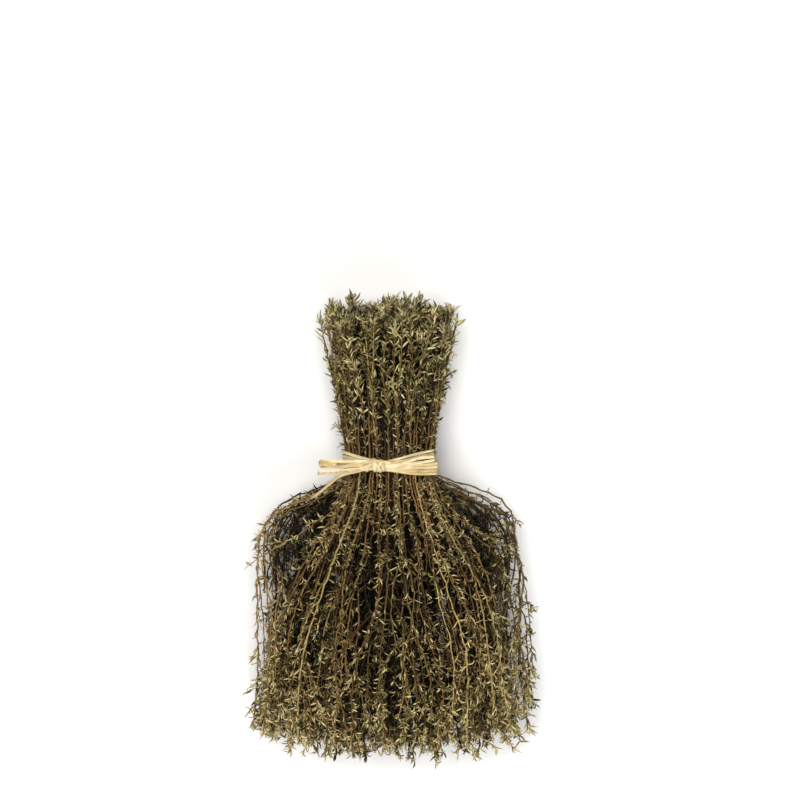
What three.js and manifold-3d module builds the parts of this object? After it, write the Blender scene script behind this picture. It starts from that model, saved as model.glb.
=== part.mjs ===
// A bundle of dried thyme, tied round its waist with raffia and lying on a table.
//
// Units are millimetres, +Z up. The head points to +Y, the skirt to -Y and the bow faces up.
// The origin is on the table, under the middle of the bundle.
//
// Every sprig keeps its seat in the bundle's cross-section, a radius and an angle in a unit
// disc, while the outline of the section grows from the tied waist to the head and the skirt.
// The seats differ, so the sprigs run side by side and never cross. Head sprigs have their tips
// in the head and their cut feet in the skirt; skirt sprigs lie the other way round.

import * as THREE from "three";
import { mergeVertices } from "three/addons/utils/BufferGeometryUtils.js";
import Module from "manifold-3d";

// ---------------------------------------------------------------- driving dimensions

const LENGTH = 190; // of the whole bundle
const TIE_FROM_TOP = 69.5;
const TIE_Y = LENGTH / 2 - TIE_FROM_TOP;

// Half-width, height above and below the axis, and height of the axis over the table.
const WAIST = { across: 18.5, above: 14.5, below: 13.5, axis: 24 };
const HEAD = { across: 27, above: 23, below: 20.1, axis: 20.4 };
const SKIRT = { across: 56, above: 28, below: 23.8, axis: 24 };
// The head opens like a hyperbola, up to its reach from the tie. The skirt starts to open a
// little past the tie, widens over its flare and deepens over its fill, each with a power that
// says how suddenly. The lower half fans out at once, into broad shoulders, while the seats above
// a lift of low stay together as a neck for longer.
const OPENING = { reach: 60, rounding: 0.1 };
const FLARE = { start: 4.5, run: 10, above: 34, low: -0.1, rise: 0.25, below: 14, power: 1.8 };
const FILL = { run: 28, power: 1.6 };
const FLAT_REACH = 35; // from the tie, where the underside has settled flat on the table

const OUTER_SPRIGS = 28;
const ORDER = ["skirt", "head", "skirt", "head", "skirt"]; // round the bundle, repeated
const OUTER_SEATS = [0.95, 0.85]; // radii of neighbours, in turn
const SWAY = 0.03; // radians, once clear of the tie
const SWAY_REACH = 40;

// How far from the tie the tips and the cut feet stand.
const TIPS = {
  head: { front: 57, back: 66, scatter: 3.5, rounding: 0 },
  skirt: { front: 113.5, back: 113.5, scatter: 6, rounding: 8 },
};
const FEET = { head: { near: 28, far: 52 }, skirt: { near: 16, far: 34 } };
const TIP_LEAN = { head: 0.05, skirt: 0.03 }; // of the section, outwards at the tip
const LEAN_RUN = 25;

const STEM = { foot: 0.9, tip: 0.5, step: 20 };
const TWIG = { foot: 0.5, tip: 0.42, step: 20, run: 28 };
const TIE_RINGS = [-7, 0, 7]; // stations where every outer stem follows the waist closely
const TURN = 0.26; // radians that a stem turns between two of its cross-sections, at most
const TURN_STEP = 1.5;
const FORKS = {
  head: { start: 14, spread: 6, turn: 0.5, drift: -0.08, shorter: 5 },
  skirt: { start: 28, spread: 20, turn: 0.5, drift: -0.03, shorter: 9 },
};
const BARE_REACH = 15; // from the tie, with no leaves
const BARE_FORK = 16; // of a twig

// Leaves stand in opposite pairs, closest together at the tips.
const LEAF = { length: 4.8, width: 1.8, thick: 0.75, belly: 0.45, root: 1.1 };
const PAIRS = { last: 2.4, gap: 4.3, growth: 4.8 };
const LEAF_SLANTS = [0.75, 1.0, 0.5]; // radians from the stem, tried in turn
const LEAF_SWINGS = [0, 0.4, -0.4, 0.75, -0.75]; // radians sideways, tried in turn
const CLEAR = 0.35; // between separate pieces
const LINE_STEP = 4; // between the points that a stem's line passes through
const STRETCH = 8; // of stem, taken as straight where leaves are kept clear of it

// The core is widest at the waist. Its flutes are the outermost of its packed stems.
const CORE = { waist: 0.62, tip: 0.2, reach: 18, headEnd: 50, headTaper: 40, skirtEnd: 84, skirtTaper: 66 };
const FLUTES = { count: 12, depth: 0.11, step: 13.5 };
const HEAD_SHOOTS = { count: 6, start: 22, ring: 0.5 };
const SKIRT_SHOOTS = { count: 6, start: 10, ring: 0.5 };
const BARE_SHOOT = 12; // past a shoot's root, in the core
const CORE_MARGIN = 0.12; // of the section, from the core to the nearest leaf

// Raffia: flat strands, wound round the waist and knotted in a bow on top.
const STRAND = { width: 4, thick: 1.0 };
const WRAP_SIDES = 18;
const WRAP_TILTS = [-0.15, 0.06]; // rise along the bundle for each millimetre across it
const KNOT = { x: -2.8, across: 3.2, along: 3.6, deep: 2.4 };

// ---------------------------------------------------------------- numbers and places

const QUARTER = Math.PI / 2;

// A fixed draw from 0 to 1 for each sprig and item.
function draw(sprig, item) {
  const value = Math.sin(sprig * 12.9898 + item * 78.233 + 9.1) * 43758.5453;
  return value - Math.floor(value);
}

function ease(t) {
  const x = THREE.MathUtils.clamp(t, 0, 1);
  return x * x * (3 - 2 * x);
}

function mix(a, b, t) {
  return a + (b - a) * t;
}

function headOpening(station) {
  const r = OPENING.rounding;
  return (Math.hypot(station / OPENING.reach, r) - r) / (Math.hypot(1, r) - r);
}

function skirtOpening(station, { run, power }) {
  const past = Math.max(0, -station - FLARE.start);
  return 1 - Math.exp(-((past / run) ** power));
}

// The outline of the bundle at a station, which is a distance from the tie: positive towards
// the head, negative towards the skirt. Lift is a seat's height in the disc.
function section(station, lift) {
  const isHead = station > 0;
  const end = isHead ? HEAD : SKIRT;
  const later = FLARE.above * ease((lift - FLARE.low) / FLARE.rise) + FLARE.below * Math.max(0, -lift);
  const flare = { run: FLARE.run + later, power: FLARE.power };
  const spread = isHead ? headOpening(station) : skirtOpening(station, flare);
  const fill = isHead ? spread : skirtOpening(station, FILL);
  return {
    across: mix(WAIST.across, end.across, spread),
    above: mix(WAIST.above, end.above, fill),
    below: mix(WAIST.below, end.below, fill),
    axis: mix(WAIST.axis, end.axis, fill),
    flat: ease(Math.abs(station) / FLAT_REACH),
  };
}

// The place of a seat at a station. Seats low in the bundle settle towards the table.
function place(radius, angle, station) {
  const lift = radius * Math.sin(angle);
  const s = section(station, lift);
  const settled = Math.max(0, 1 + lift) ** 2 - 1;
  const height = lift > 0 ? lift * s.above : mix(lift, settled, s.flat) * s.below;
  return new THREE.Vector3(radius * Math.cos(angle) * s.across, TIE_Y + station, s.axis + height);
}

// ---------------------------------------------------------------- solids

const wasm = await Module();
wasm.setup();

function solidOf(geometry) {
  geometry.deleteAttribute("normal");
  geometry.deleteAttribute("uv");
  const merged = mergeVertices(geometry, 1e-4);
  return new wasm.Manifold(
    new wasm.Mesh({
      numProp: 3,
      vertProperties: merged.getAttribute("position").array,
      triVerts: new Uint32Array(merged.index.array),
    }),
  );
}

function geometryOf(solid) {
  const mesh = solid.getMesh();
  const geometry = new THREE.BufferGeometry();
  geometry.setAttribute("position", new THREE.BufferAttribute(mesh.vertProperties, 3));
  geometry.setIndex(new THREE.BufferAttribute(mesh.triVerts, 1));
  return geometry;
}

function fuse(geometries) {
  return wasm.Manifold.union(geometries.map(solidOf));
}

// What would hang below the table is pressed flat on it, and a loose scrap is dropped.
function pressFlat(solid) {
  const slab = new THREE.BoxGeometry(2 * LENGTH, 2 * LENGTH, 20).translate(0, 0, -10);
  const bodies = solid.subtract(solidOf(slab)).decompose();
  return bodies.sort((a, b) => b.volume() - a.volume())[0];
}

// ---------------------------------------------------------------- keeping pieces clear

// Stretches of stem and leaf that are already placed, each with the line it belongs to.
const taken = [];

function takeLine(line, half) {
  const points = line.getSpacedPoints(Math.max(2, Math.round(line.getLength() / STRETCH)));
  points.slice(1).forEach((to, i) => taken.push({ from: points[i], to, half, line }));
}

// The least distance between two straight stretches.
function distance(a, b) {
  const u = a.to.clone().sub(a.from);
  const v = b.to.clone().sub(b.from);
  const w = a.from.clone().sub(b.from);
  const uu = u.dot(u);
  const uv = u.dot(v);
  const vv = v.dot(v);
  const square = uu * vv - uv * uv;
  const along = square > 1e-9 ? (uv * v.dot(w) - vv * u.dot(w)) / square : 0;
  const t = THREE.MathUtils.clamp((uv * THREE.MathUtils.clamp(along, 0, 1) + v.dot(w)) / vv, 0, 1);
  const s = THREE.MathUtils.clamp((uv * t - u.dot(w)) / uu, 0, 1);
  return w.addScaledVector(u, s).addScaledVector(v, -t).length();
}

function isClear(stretch) {
  return taken.every(
    (other) =>
      other.line === stretch.line || distance(stretch, other) > stretch.half + other.half + CLEAR,
  );
}

// The core's share of the section. It thins out to both ends and doesn't fan out sideways.
function coreShare(station) {
  const toHead = ease((CORE.headEnd - station) / CORE.headTaper);
  const toSkirt = ease((CORE.skirtEnd + station) / CORE.skirtTaper);
  const share = mix(CORE.tip, CORE.waist, Math.min(toHead, toSkirt));
  return Math.min(share, CORE.reach / section(station, 0).across);
}

// No leaf may reach into the core that fills the middle.
function isOutsideCore(point) {
  const station = point.y - TIE_Y;
  if (station > CORE.headEnd || station < -CORE.skirtEnd) return true;
  const s = section(station, 0);
  const height = (point.z - s.axis) / (point.z > s.axis ? s.above : s.below);
  const unsettled = height < 0 ? Math.sqrt(Math.max(0, 1 + height)) - 1 : height;
  const share = Math.hypot(point.x / s.across, mix(height, unsettled, s.flat));
  return share > coreShare(station) + CORE_MARGIN;
}

// ---------------------------------------------------------------- leafy stems

// The place, direction and cross directions of a stem at a distance along its line.
function frameAt(line, distanceAlong) {
  const t = distanceAlong / line.getLength();
  const tangent = line.getTangentAt(t);
  const side = new THREE.Vector3(1, 0, 0).addScaledVector(tangent, -tangent.x).normalize();
  return { point: line.getPointAt(t), tangent, side, normal: side.clone().cross(tangent) };
}

function towards({ side, normal }, azimuth) {
  return side.clone().multiplyScalar(Math.cos(azimuth)).addScaledVector(normal, Math.sin(azimuth));
}

// The directions of a leaf: along it, across its blade and square to its blade.
function leafAxes(frame, azimuth, slant) {
  const out = towards(frame, azimuth);
  const along = frame.tangent.clone().multiplyScalar(Math.cos(slant)).addScaledVector(out, Math.sin(slant));
  const deep = frame.tangent.clone().multiplyScalar(Math.sin(slant)).addScaledVector(out, -Math.cos(slant));
  return { along, across: towards(frame, azimuth + Math.PI / 2), deep };
}

// Finds a free direction for a leaf that grows from one side of its stem.
function freeLeaf(frame, azimuth, line) {
  for (const slant of LEAF_SLANTS) {
    for (const swing of LEAF_SWINGS) {
      const axes = leafAxes(frame, azimuth + swing, slant);
      const from = frame.point.clone().addScaledVector(axes.along, STEM.foot);
      const to = frame.point.clone().addScaledVector(axes.along, LEAF.length + STEM.tip);
      const stretch = { from, to, half: LEAF.width / 2, line };
      if (to.z < 0 || !isOutsideCore(to) || !isClear(stretch)) continue;
      taken.push(stretch);
      return axes;
    }
  }
  return null;
}

// Raises a leaf from four vertices. Each corner is [vertex, side across, side deep], in order
// round the root.
function raiseLeaf(surface, corners, root, { along, across, deep }) {
  const belly = corners.map(([, wide, thick]) =>
    surface.add(
      root
        .clone()
        .addScaledVector(along, LEAF.belly * LEAF.length)
        .addScaledVector(across, (wide * LEAF.width) / 2)
        .addScaledVector(deep, (thick * LEAF.thick) / 2),
    ),
  );
  const tip = surface.add(root.clone().addScaledVector(along, LEAF.length));
  corners.forEach(([vertex], i) => {
    const next = (i + 1) % 4;
    surface.quad(vertex, corners[next][0], belly[next], belly[i]);
    surface.faces.push(belly[i], belly[next], tip);
  });
}

function newSurface() {
  const vertices = [];
  const faces = [];
  return {
    vertices,
    faces,
    add: (point) => vertices.push(point) - 1,
    quad: (a, b, c, d) => faces.push(a, b, c, a, c, d),
  };
}

// Distances along a line where pairs of leaves stand, from the tip back to the bare part.
function pairPlaces(line, bare) {
  const places = [];
  let gap = PAIRS.gap;
  for (let at = line.getLength() - PAIRS.last; at > bare; at -= gap) {
    places.unshift(at);
    if (places.length > 1) gap += PAIRS.growth;
  }
  return places;
}

// Distances along a line at which it has turned a little further.
function bendPlaces(line) {
  const length = line.getLength();
  const places = [];
  let last = line.getTangentAt(0);
  for (let at = TURN_STEP; at < length; at += TURN_STEP) {
    const tangent = line.getTangentAt(at / length);
    if (tangent.angleTo(last) < TURN) continue;
    places.push(at);
    last = tangent;
  }
  return places;
}

// Where a stem's cross-sections stand: at its ends, its bends, given rings, both edges of each
// pair's band, and in between where those are far apart.
function stopsAlong(line, step, bare, rings) {
  const pairs = pairPlaces(line, bare);
  const bands = pairs.flatMap((at, i) => [
    { at: at - LEAF.root / 2, pair: { at, side: i % 2 } },
    { at: at + LEAF.root / 2 },
  ]);
  const bends = [...bendPlaces(line), ...rings]
    .filter((at) => pairs.every((pair) => Math.abs(at - pair) > LEAF.root))
    .filter((at) => rings.every((ring) => at === ring || Math.abs(at - ring) > LEAF.root))
    .map((at) => ({ at }));
  const marks = [...bends, ...bands, { at: line.getLength() }].sort((a, b) => a.at - b.at);
  const stops = [{ at: 0 }];
  for (const next of marks) {
    const before = stops[stops.length - 1].at;
    const steps = Math.ceil((next.at - before) / step);
    for (let i = 1; i < steps; i++) stops.push({ at: mix(before, next.at, i / steps) });
    stops.push(next);
  }
  return stops;
}

// The four vertices of a stem's cross-section.
function ringAt(surface, line, at, radius, roll) {
  const frame = frameAt(line, at);
  return [0, 1, 2, 3].map((k) => {
    const corner = towards(frame, roll + QUARTER / 2 + k * QUARTER);
    return surface.add(frame.point.clone().addScaledVector(corner, radius));
  });
}

// One side of a stem between two cross-sections: plain, or the root of a leaf where there is
// room for one.
function stemSide(surface, vertices, axes) {
  if (!axes) {
    surface.quad(...vertices);
    return;
  }
  const middle = vertices
    .reduce((sum, vertex) => sum.add(surface.vertices[vertex]), new THREE.Vector3())
    .divideScalar(4);
  const signs = [[-1, -1], [-1, 1], [1, 1], [1, -1]];
  const corners = vertices.map((vertex, i) => [vertex, ...signs[i]]);
  raiseLeaf(surface, corners, middle, axes);
}

function stemTip(surface, line, ring, roll) {
  const end = frameAt(line, line.getLength());
  const axes = { along: end.tangent, across: towards(end, roll), deep: towards(end, roll + QUARTER) };
  const signs = [[1, -1], [-1, -1], [-1, 1], [1, 1]];
  const corners = [...ring].reverse().map((vertex, i) => [vertex, ...signs[i]]);
  raiseLeaf(surface, corners, end.point, axes);
}

// A square stem along a line. A short band of it puts out each pair of leaves, each pair square
// to the last, and the stem ends in a leaf.
function leafyStem(line, size, number, bare, rings = []) {
  const roll = 2 * QUARTER * draw(number, 8);
  const surface = newSurface();
  const stops = stopsAlong(line, size.step, bare, rings);
  for (const stop of stops) {
    const radius = mix(size.foot, size.tip, stop.at / line.getLength());
    stop.ring = ringAt(surface, line, stop.at, radius, roll);
  }
  stops.slice(1).forEach(({ ring }, i) => {
    const { ring: last, pair } = stops[i];
    for (let k = 0; k < 4; k++) {
      const next = (k + 1) % 4;
      const hasLeaf = pair && k % 2 === pair.side;
      const axes = hasLeaf && freeLeaf(frameAt(line, pair.at), roll + (k + 1) * QUARTER, line);
      stemSide(surface, [last[k], ring[k], ring[next], last[next]], axes);
    }
  });
  surface.quad(...stops[0].ring);
  stemTip(surface, line, stops[stops.length - 1].ring, roll);
  const geometry = new THREE.BufferGeometry().setFromPoints(surface.vertices);
  geometry.setIndex(surface.faces);
  return geometry;
}

// ---------------------------------------------------------------- sprigs

// Where a sprig's main stem, or its twig, is at a station.
function seatOf(sprig, station, twig) {
  const free = ease(Math.abs(station) / SWAY_REACH);
  const beat = Math.sin(station * sprig.pitch + sprig.phase);
  const lean = ease((sprig.sense * station - (sprig.reach - LEAN_RUN)) / LEAN_RUN);
  const past = twig ? THREE.MathUtils.clamp((sprig.sense * station - twig.start) / TWIG.run, 0, 1) : 0;
  const fork = past * (2 - past);
  return place(
    sprig.radius + TIP_LEAN[sprig.kind] * lean + (twig ? twig.drift * fork : 0),
    sprig.angle + SWAY * free * beat + (twig ? twig.turn * fork : 0),
    station,
  );
}

function lineOf(sprig, from, to, twig) {
  const count = Math.max(3, Math.round(Math.abs(to - from) / LINE_STEP));
  const points = [];
  for (let i = 0; i <= count; i++) points.push(seatOf(sprig, mix(from, to, i / count), twig));
  return new THREE.CatmullRomCurve3(points);
}

// Sprigs at the back of the head are longer, and the skirt's hem is rounded at its sides.
function sprigOn(kind, number, radius, angle) {
  const tips = TIPS[kind];
  const back = 0.5 - 0.5 * radius * Math.sin(angle);
  const side = (radius * Math.cos(angle)) ** 2;
  const scatter = tips.scatter * (draw(number, 1) - 0.5);
  return {
    kind,
    number,
    radius,
    angle,
    sense: kind === "head" ? 1 : -1,
    pitch: mix(0.06, 0.1, draw(number, 2)),
    phase: 2 * Math.PI * draw(number, 3),
    reach: mix(tips.front, tips.back, back) + scatter - tips.rounding * side,
  };
}

function outerSprig(number) {
  const kind = ORDER[number % ORDER.length];
  const sector = (2 * Math.PI) / OUTER_SPRIGS;
  const sprig = sprigOn(kind, number, OUTER_SEATS[number % OUTER_SEATS.length], sector * (number + 0.25));
  const fork = FORKS[kind];
  sprig.foot = mix(FEET[kind].near, FEET[kind].far, draw(number, 4));
  sprig.stem = lineOf(sprig, -sprig.sense * sprig.foot, sprig.sense * sprig.reach);
  sprig.twig = {
    start: fork.start + fork.spread * draw(number, 6),
    turn: fork.turn * sector,
    drift: fork.drift,
    reach: sprig.reach - fork.shorter,
  };
  sprig.twig.line = lineOf(sprig, sprig.sense * sprig.twig.start, sprig.sense * sprig.twig.reach, sprig.twig);
  takeLine(sprig.stem, STEM.foot);
  takeLine(sprig.twig.line, TWIG.foot);
  return sprig;
}

function outerSolid(sprig) {
  const bare = sprig.foot + BARE_REACH;
  const rings = TIE_RINGS.map((station) => sprig.foot + station);
  return fuse([
    leafyStem(sprig.stem, STEM, sprig.number, bare, rings),
    leafyStem(sprig.twig.line, TWIG, sprig.number, BARE_FORK),
  ]);
}

// ---------------------------------------------------------------- the inner bunch

// The packed stems in the middle, as one fluted core that flows with the bundle and thins out
// towards both ends, where shoots leave it.
function core() {
  const length = CORE.headEnd + CORE.skirtEnd;
  const steps = Math.round(length / FLUTES.step);
  const geometry = new THREE.CylinderGeometry(1, 1, length, 2 * FLUTES.count, steps);
  const position = geometry.getAttribute("position");
  for (let i = 0; i < position.count; i++) {
    const station = position.getY(i) + (CORE.headEnd - CORE.skirtEnd) / 2;
    const angle = Math.atan2(position.getZ(i), position.getX(i));
    const isCentre = Math.hypot(position.getX(i), position.getZ(i)) < 0.5;
    const flute = 1 + FLUTES.depth * Math.cos(FLUTES.count * angle);
    const point = place(isCentre ? 0 : coreShare(station) * flute, angle, station);
    position.setXYZ(i, point.x, point.y, point.z);
  }
  return geometry;
}

// Leafy shoots that leave the core on the way to one of its two ends.
function shoots(kind, row, firstNumber) {
  return Array.from({ length: row.count }, (_, i) => {
    const radius = i === 0 ? 0 : row.ring * (i % 2 ? 1 : 0.6);
    const sprig = sprigOn(kind, firstNumber + i, radius, (2 * Math.PI * i) / (row.count - 1));
    const line = lineOf(sprig, sprig.sense * row.start, sprig.sense * sprig.reach);
    takeLine(line, TWIG.foot);
    return leafyStem(line, TWIG, sprig.number, BARE_SHOOT);
  });
}

function innerBunch() {
  return fuse([core(), ...shoots("head", HEAD_SHOOTS, 100), ...shoots("skirt", SKIRT_SHOOTS, 200)]);
}

// ---------------------------------------------------------------- the raffia tie

const WRAP_GAP = STEM.foot + CLEAR + 0.25; // from the outermost seats to the wraps
const BOW_Z = WAIST.axis + OUTER_SEATS[0] * WAIST.above + WRAP_GAP + STRAND.thick + 0.6;

// One turn of a strand round the waist, just clear of the outermost stems and tilted so that it
// climbs to one side.
function wrap(tilt) {
  const half = STRAND.width / 2;
  const outer = 2; // marks the outer face until its real place is worked out
  const corners = [[1, -half], [outer, -half], [outer, half], [1, half], [1, -half]];
  const profile = corners.map(([x, y]) => new THREE.Vector2(x, y));
  const geometry = new THREE.LatheGeometry(profile, WRAP_SIDES);
  const position = geometry.getAttribute("position");
  for (let i = 0; i < position.count; i++) {
    const radius = Math.hypot(position.getX(i), position.getZ(i));
    const right = position.getX(i) / radius;
    const up = position.getZ(i) / radius;
    const station = position.getY(i) + tilt * (right * WAIST.across - KNOT.x);
    const s = section(station, up);
    const proud = WRAP_GAP + (radius > (1 + outer) / 2 ? STRAND.thick : 0);
    const x = right * (OUTER_SEATS[0] * s.across + proud);
    const z = up * (OUTER_SEATS[0] * (up > 0 ? s.above : s.below) + proud);
    position.setXYZ(i, x, TIE_Y + station, s.axis + z);
  }
  return geometry;
}

// A flat strand through points given as [x, station, height over the bow].
function strand(points, width, steps) {
  const corners = points.map(([x, station, lift]) => new THREE.Vector3(x, TIE_Y + station, BOW_Z + lift));
  const line = new THREE.CatmullRomCurve3(corners);
  const geometry = new THREE.BoxGeometry(width, 1, STRAND.thick, 1, steps, 1);
  const position = geometry.getAttribute("position");
  for (let i = 0; i < position.count; i++) {
    const t = position.getY(i) + 0.5;
    const tangent = line.getTangentAt(t);
    const side = new THREE.Vector3(0, 1, 0).addScaledVector(tangent, -tangent.y).normalize();
    const point = line
      .getPointAt(t)
      .addScaledVector(side, position.getX(i))
      .addScaledVector(side.clone().cross(tangent), position.getZ(i));
    position.setXYZ(i, point.x, point.y, point.z);
  }
  return geometry;
}

function knot() {
  const geometry = new THREE.SphereGeometry(1, 7, 4);
  geometry.scale(KNOT.across, KNOT.along, KNOT.deep);
  return geometry.translate(KNOT.x, TIE_Y, BOW_Z + 0.2);
}

function raffiaTie() {
  const x = KNOT.x;
  return fuse([
    ...WRAP_TILTS.map(wrap),
    knot(),
    // the loop to the left, out and back
    strand([[x, 1.3, 1.6], [-14, 2, 1.4], [-25, 2, -0.8], [-27.6, 1.8, -2.8]], 3.2, 4),
    strand([[-27.7, 1.8, -2.2], [-25, 1.6, -4], [-14, 1.6, -0.9], [x, 1.3, 0.2]], 3.2, 4),
    // the cut end to the left, and the tail
    strand([[x, -1.9, 0.3], [-14, -2.2, -0.6], [-28.2, -3, -5.2]], 3, 4),
    strand([[x, -0.9, 1.5], [-12, -2.4, 1.2], [-18, -5.2, -1], [-24.6, -9.4, -5], [-31, -13.6, -10]], 1.6, 7),
    // the cut ends to the right
    strand([[x, 1.7, 0.3], [8, 2.4, 0.2], [18.8, 4.2, -4]], 2.6, 4),
    strand([[x, 0.1, 1.6], [8, 0.4, 1.5], [19.3, 0.8, -2.2]], 3, 4),
    strand([[x, -1.7, 0.3], [8, -1.9, 0.2], [19.1, -3, -4.8]], 3.2, 4),
  ]);
}

// ---------------------------------------------------------------- the bundle

const HEAD_FINISH = new THREE.MeshStandardMaterial({ color: 0x7f7445, roughness: 0.9, metalness: 0 });
const SKIRT_FINISH = new THREE.MeshStandardMaterial({ color: 0x7a6a45, roughness: 0.9, metalness: 0 });
const INNER_FINISH = new THREE.MeshStandardMaterial({ color: 0x54472e, roughness: 0.95, metalness: 0 });
const RAFFIA_FINISH = new THREE.MeshStandardMaterial({ color: 0xe6d3a0, roughness: 0.75, metalness: 0 });

const bundle = new THREE.Group();

function add(name, solid, finish) {
  const mesh = new THREE.Mesh(geometryOf(solid), finish);
  mesh.name = name;
  bundle.add(mesh);
}

const sprigs = Array.from({ length: OUTER_SPRIGS }, (_, number) => outerSprig(number));
const ranks = { head: 0, skirt: 0 };
for (const sprig of sprigs) {
  ranks[sprig.kind] += 1;
  const name = `${sprig.kind}_sprig_${String(ranks[sprig.kind]).padStart(2, "0")}`;
  add(name, pressFlat(outerSolid(sprig)), sprig.kind === "head" ? HEAD_FINISH : SKIRT_FINISH);
}
add("inner_bunch", pressFlat(innerBunch()), INNER_FINISH);
add("raffia_tie", raffiaTie(), RAFFIA_FINISH);

export default bundle;
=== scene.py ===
"""A bundle of dried thyme, tied with raffia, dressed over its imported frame.

Lengths are in millimetres and become metres when a mesh is made. The head points to +Y, the
skirt to -Y and the bow faces up. A sprig keeps its seat in the bundle's cross-section, a radius
and an angle in a unit disc, and a station is a distance from the tie, positive to the head.
"""

import math
from dataclasses import dataclass, field

import bpy
import numpy as np
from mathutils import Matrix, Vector


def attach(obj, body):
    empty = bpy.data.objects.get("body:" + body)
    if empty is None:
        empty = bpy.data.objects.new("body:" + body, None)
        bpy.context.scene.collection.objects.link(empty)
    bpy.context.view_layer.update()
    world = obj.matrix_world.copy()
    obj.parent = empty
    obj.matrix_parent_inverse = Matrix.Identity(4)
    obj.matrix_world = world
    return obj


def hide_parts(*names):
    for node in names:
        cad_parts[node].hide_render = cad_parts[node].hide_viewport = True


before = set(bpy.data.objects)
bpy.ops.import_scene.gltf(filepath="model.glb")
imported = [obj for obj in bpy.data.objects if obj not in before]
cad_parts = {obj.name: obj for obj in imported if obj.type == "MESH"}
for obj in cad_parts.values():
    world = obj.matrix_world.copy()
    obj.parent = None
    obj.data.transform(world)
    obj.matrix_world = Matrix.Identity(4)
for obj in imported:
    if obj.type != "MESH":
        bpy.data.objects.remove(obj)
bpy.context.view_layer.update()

MM = 0.001
TIE_Y = 25.5

# Half-width, height above and below the axis, and height of the axis over the table.
WAIST = {"across": 18.5, "above": 14.5, "below": 13.5, "axis": 24.0}
HEAD = {"across": 27.0, "above": 23.0, "below": 20.1, "axis": 20.4}
SKIRT = {"across": 56.0, "above": 28.0, "below": 23.8, "axis": 24.0}
OPENING = {"reach": 60.0, "rounding": 0.1}
# The sides fan out soonest and the underside a little later. Seats above low stay together longest.
FLARE = {
    "start": 4.5, "run": 10.0, "power": 1.8,
    "above": 34.0, "low": -0.1, "rise": 0.25,
    "below": 14.0,
}
HASTE = {"run": 0.45, "start": 2.0}  # how much sooner the hastiest sprigs bend out
FILL = {"run": 28.0, "power": 1.6}
FLAT_REACH = 35.0  # from the tie, where the underside has settled flat on the table

OUTER_SPRIGS = 28
SECTOR = 2 * math.pi / OUTER_SPRIGS
ORDER = ["skirt", "head", "skirt", "head", "skirt"]
OUTER_SEATS = [0.95, 0.85]
SWAY = 0.03  # radians, once clear of the tie
SWAY_REACH = 40.0
PITCH = (0.06, 0.1)  # of the sway, in radians a millimetre
# How far from the tie the tips and the cut feet are.
TIPS = {
    "head": {"front": 57.0, "back": 66.0, "scatter": 3.5, "rounding": 0.0},
    "skirt": {"front": 113.5, "back": 113.5, "scatter": 6.0, "rounding": 8.0},
}
FEET = {"head": (28.0, 52.0), "skirt": (16.0, 34.0)}
TIP_LEAN = {"head": 0.05, "skirt": 0.03}  # outwards, near the tip
LEAN_RUN = 25.0
TWIG_RUN = 28.0
FORKS = {
    "head": {"start": 14.0, "spread": 6.0, "drift": -0.08, "shorter": 5.0},
    "skirt": {"start": 28.0, "spread": 20.0, "drift": -0.03, "shorter": 9.0},
}
FORK_TURN = 0.5 * SECTOR
# In the middle one sprig of each kind sits at the centre and the others round it, at two radii.
MIDDLE = {"count": 6, "seats": (0.3, 0.5), "foot": 20.0}
FIRST_NUMBER = {"head": 100, "skirt": 200, "between": 300}

# Radii of stems at both ends.
STEM = {"foot": 0.38, "tip": 0.32}
TWIG = {"foot": 0.32, "tip": 0.26}
SHOOT = {"foot": 0.2, "tip": 0.13}
LEAST_HEIGHT = 0.1  # over the table, where leaves and stems are pressed against it
PRESSED_BELOW = 0.6
LEAF_LENGTH = 4.6
LEAF_REST = 0.4  # height of the leaf tips that lie on the table

BOW_Z = 40.875


# ---------------------------------------------------------------- the bundle's flow


def draw(sprig, item):
    """A fixed draw from 0 to 1 for each sprig and item."""
    value = math.sin(sprig * 12.9898 + item * 78.233 + 9.1) * 43758.5453
    return value - math.floor(value)


def ease(t):
    x = np.clip(t, 0, 1)
    return x * x * (3 - 2 * x)


def mix(a, b, t):
    return a + (b - a) * t


def skirt_opening(station, run, power, start=FLARE["start"]):
    past = np.maximum(0, -station - start)
    return 1 - np.exp(-((past / run) ** power))


def section(station, lift, haste=0.0):
    """The outline of the bundle at stations, for seats at a height in the disc.

    Haste, up to 1, is how much sooner than the frame's a sprig bends out to the shoulders.
    """
    lift = np.asarray(lift, float)
    rounding = OPENING["rounding"]
    whole = math.hypot(1, rounding) - rounding
    head = (np.hypot(station / OPENING["reach"], rounding) - rounding) / whole
    upper = ease((lift - FLARE["low"]) / FLARE["rise"])
    later = FLARE["above"] * upper + FLARE["below"] * np.maximum(0, -lift)
    run = (FLARE["run"] + later) * (1 - HASTE["run"] * haste)
    flare = skirt_opening(station, run, FLARE["power"], FLARE["start"] - HASTE["start"] * haste)
    fill = skirt_opening(station, FILL["run"], FILL["power"])
    to_head = station > 0
    spread = np.where(to_head, head, flare)
    fill = np.where(to_head, head, fill)
    size = {}
    for key, opened in (("across", spread), ("above", fill), ("below", fill), ("axis", fill)):
        size[key] = mix(WAIST[key], np.where(to_head, HEAD[key], SKIRT[key]), opened)
    size["flat"] = ease(np.abs(station) / FLAT_REACH)
    return size


def place(radius, angle, station, haste=0.0):
    """The places of seats at stations. Low seats settle towards the table."""
    lift = radius * np.sin(angle)
    size = section(station, lift, haste)
    settled = np.maximum(0, 1 + lift) ** 2 - 1
    low = mix(lift, settled, size["flat"]) * size["below"]
    height = np.where(lift > 0, lift * size["above"], low)
    x = radius * np.cos(angle) * size["across"]
    return np.stack([x, TIE_Y + station, size["axis"] + height], axis=-1)


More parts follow.
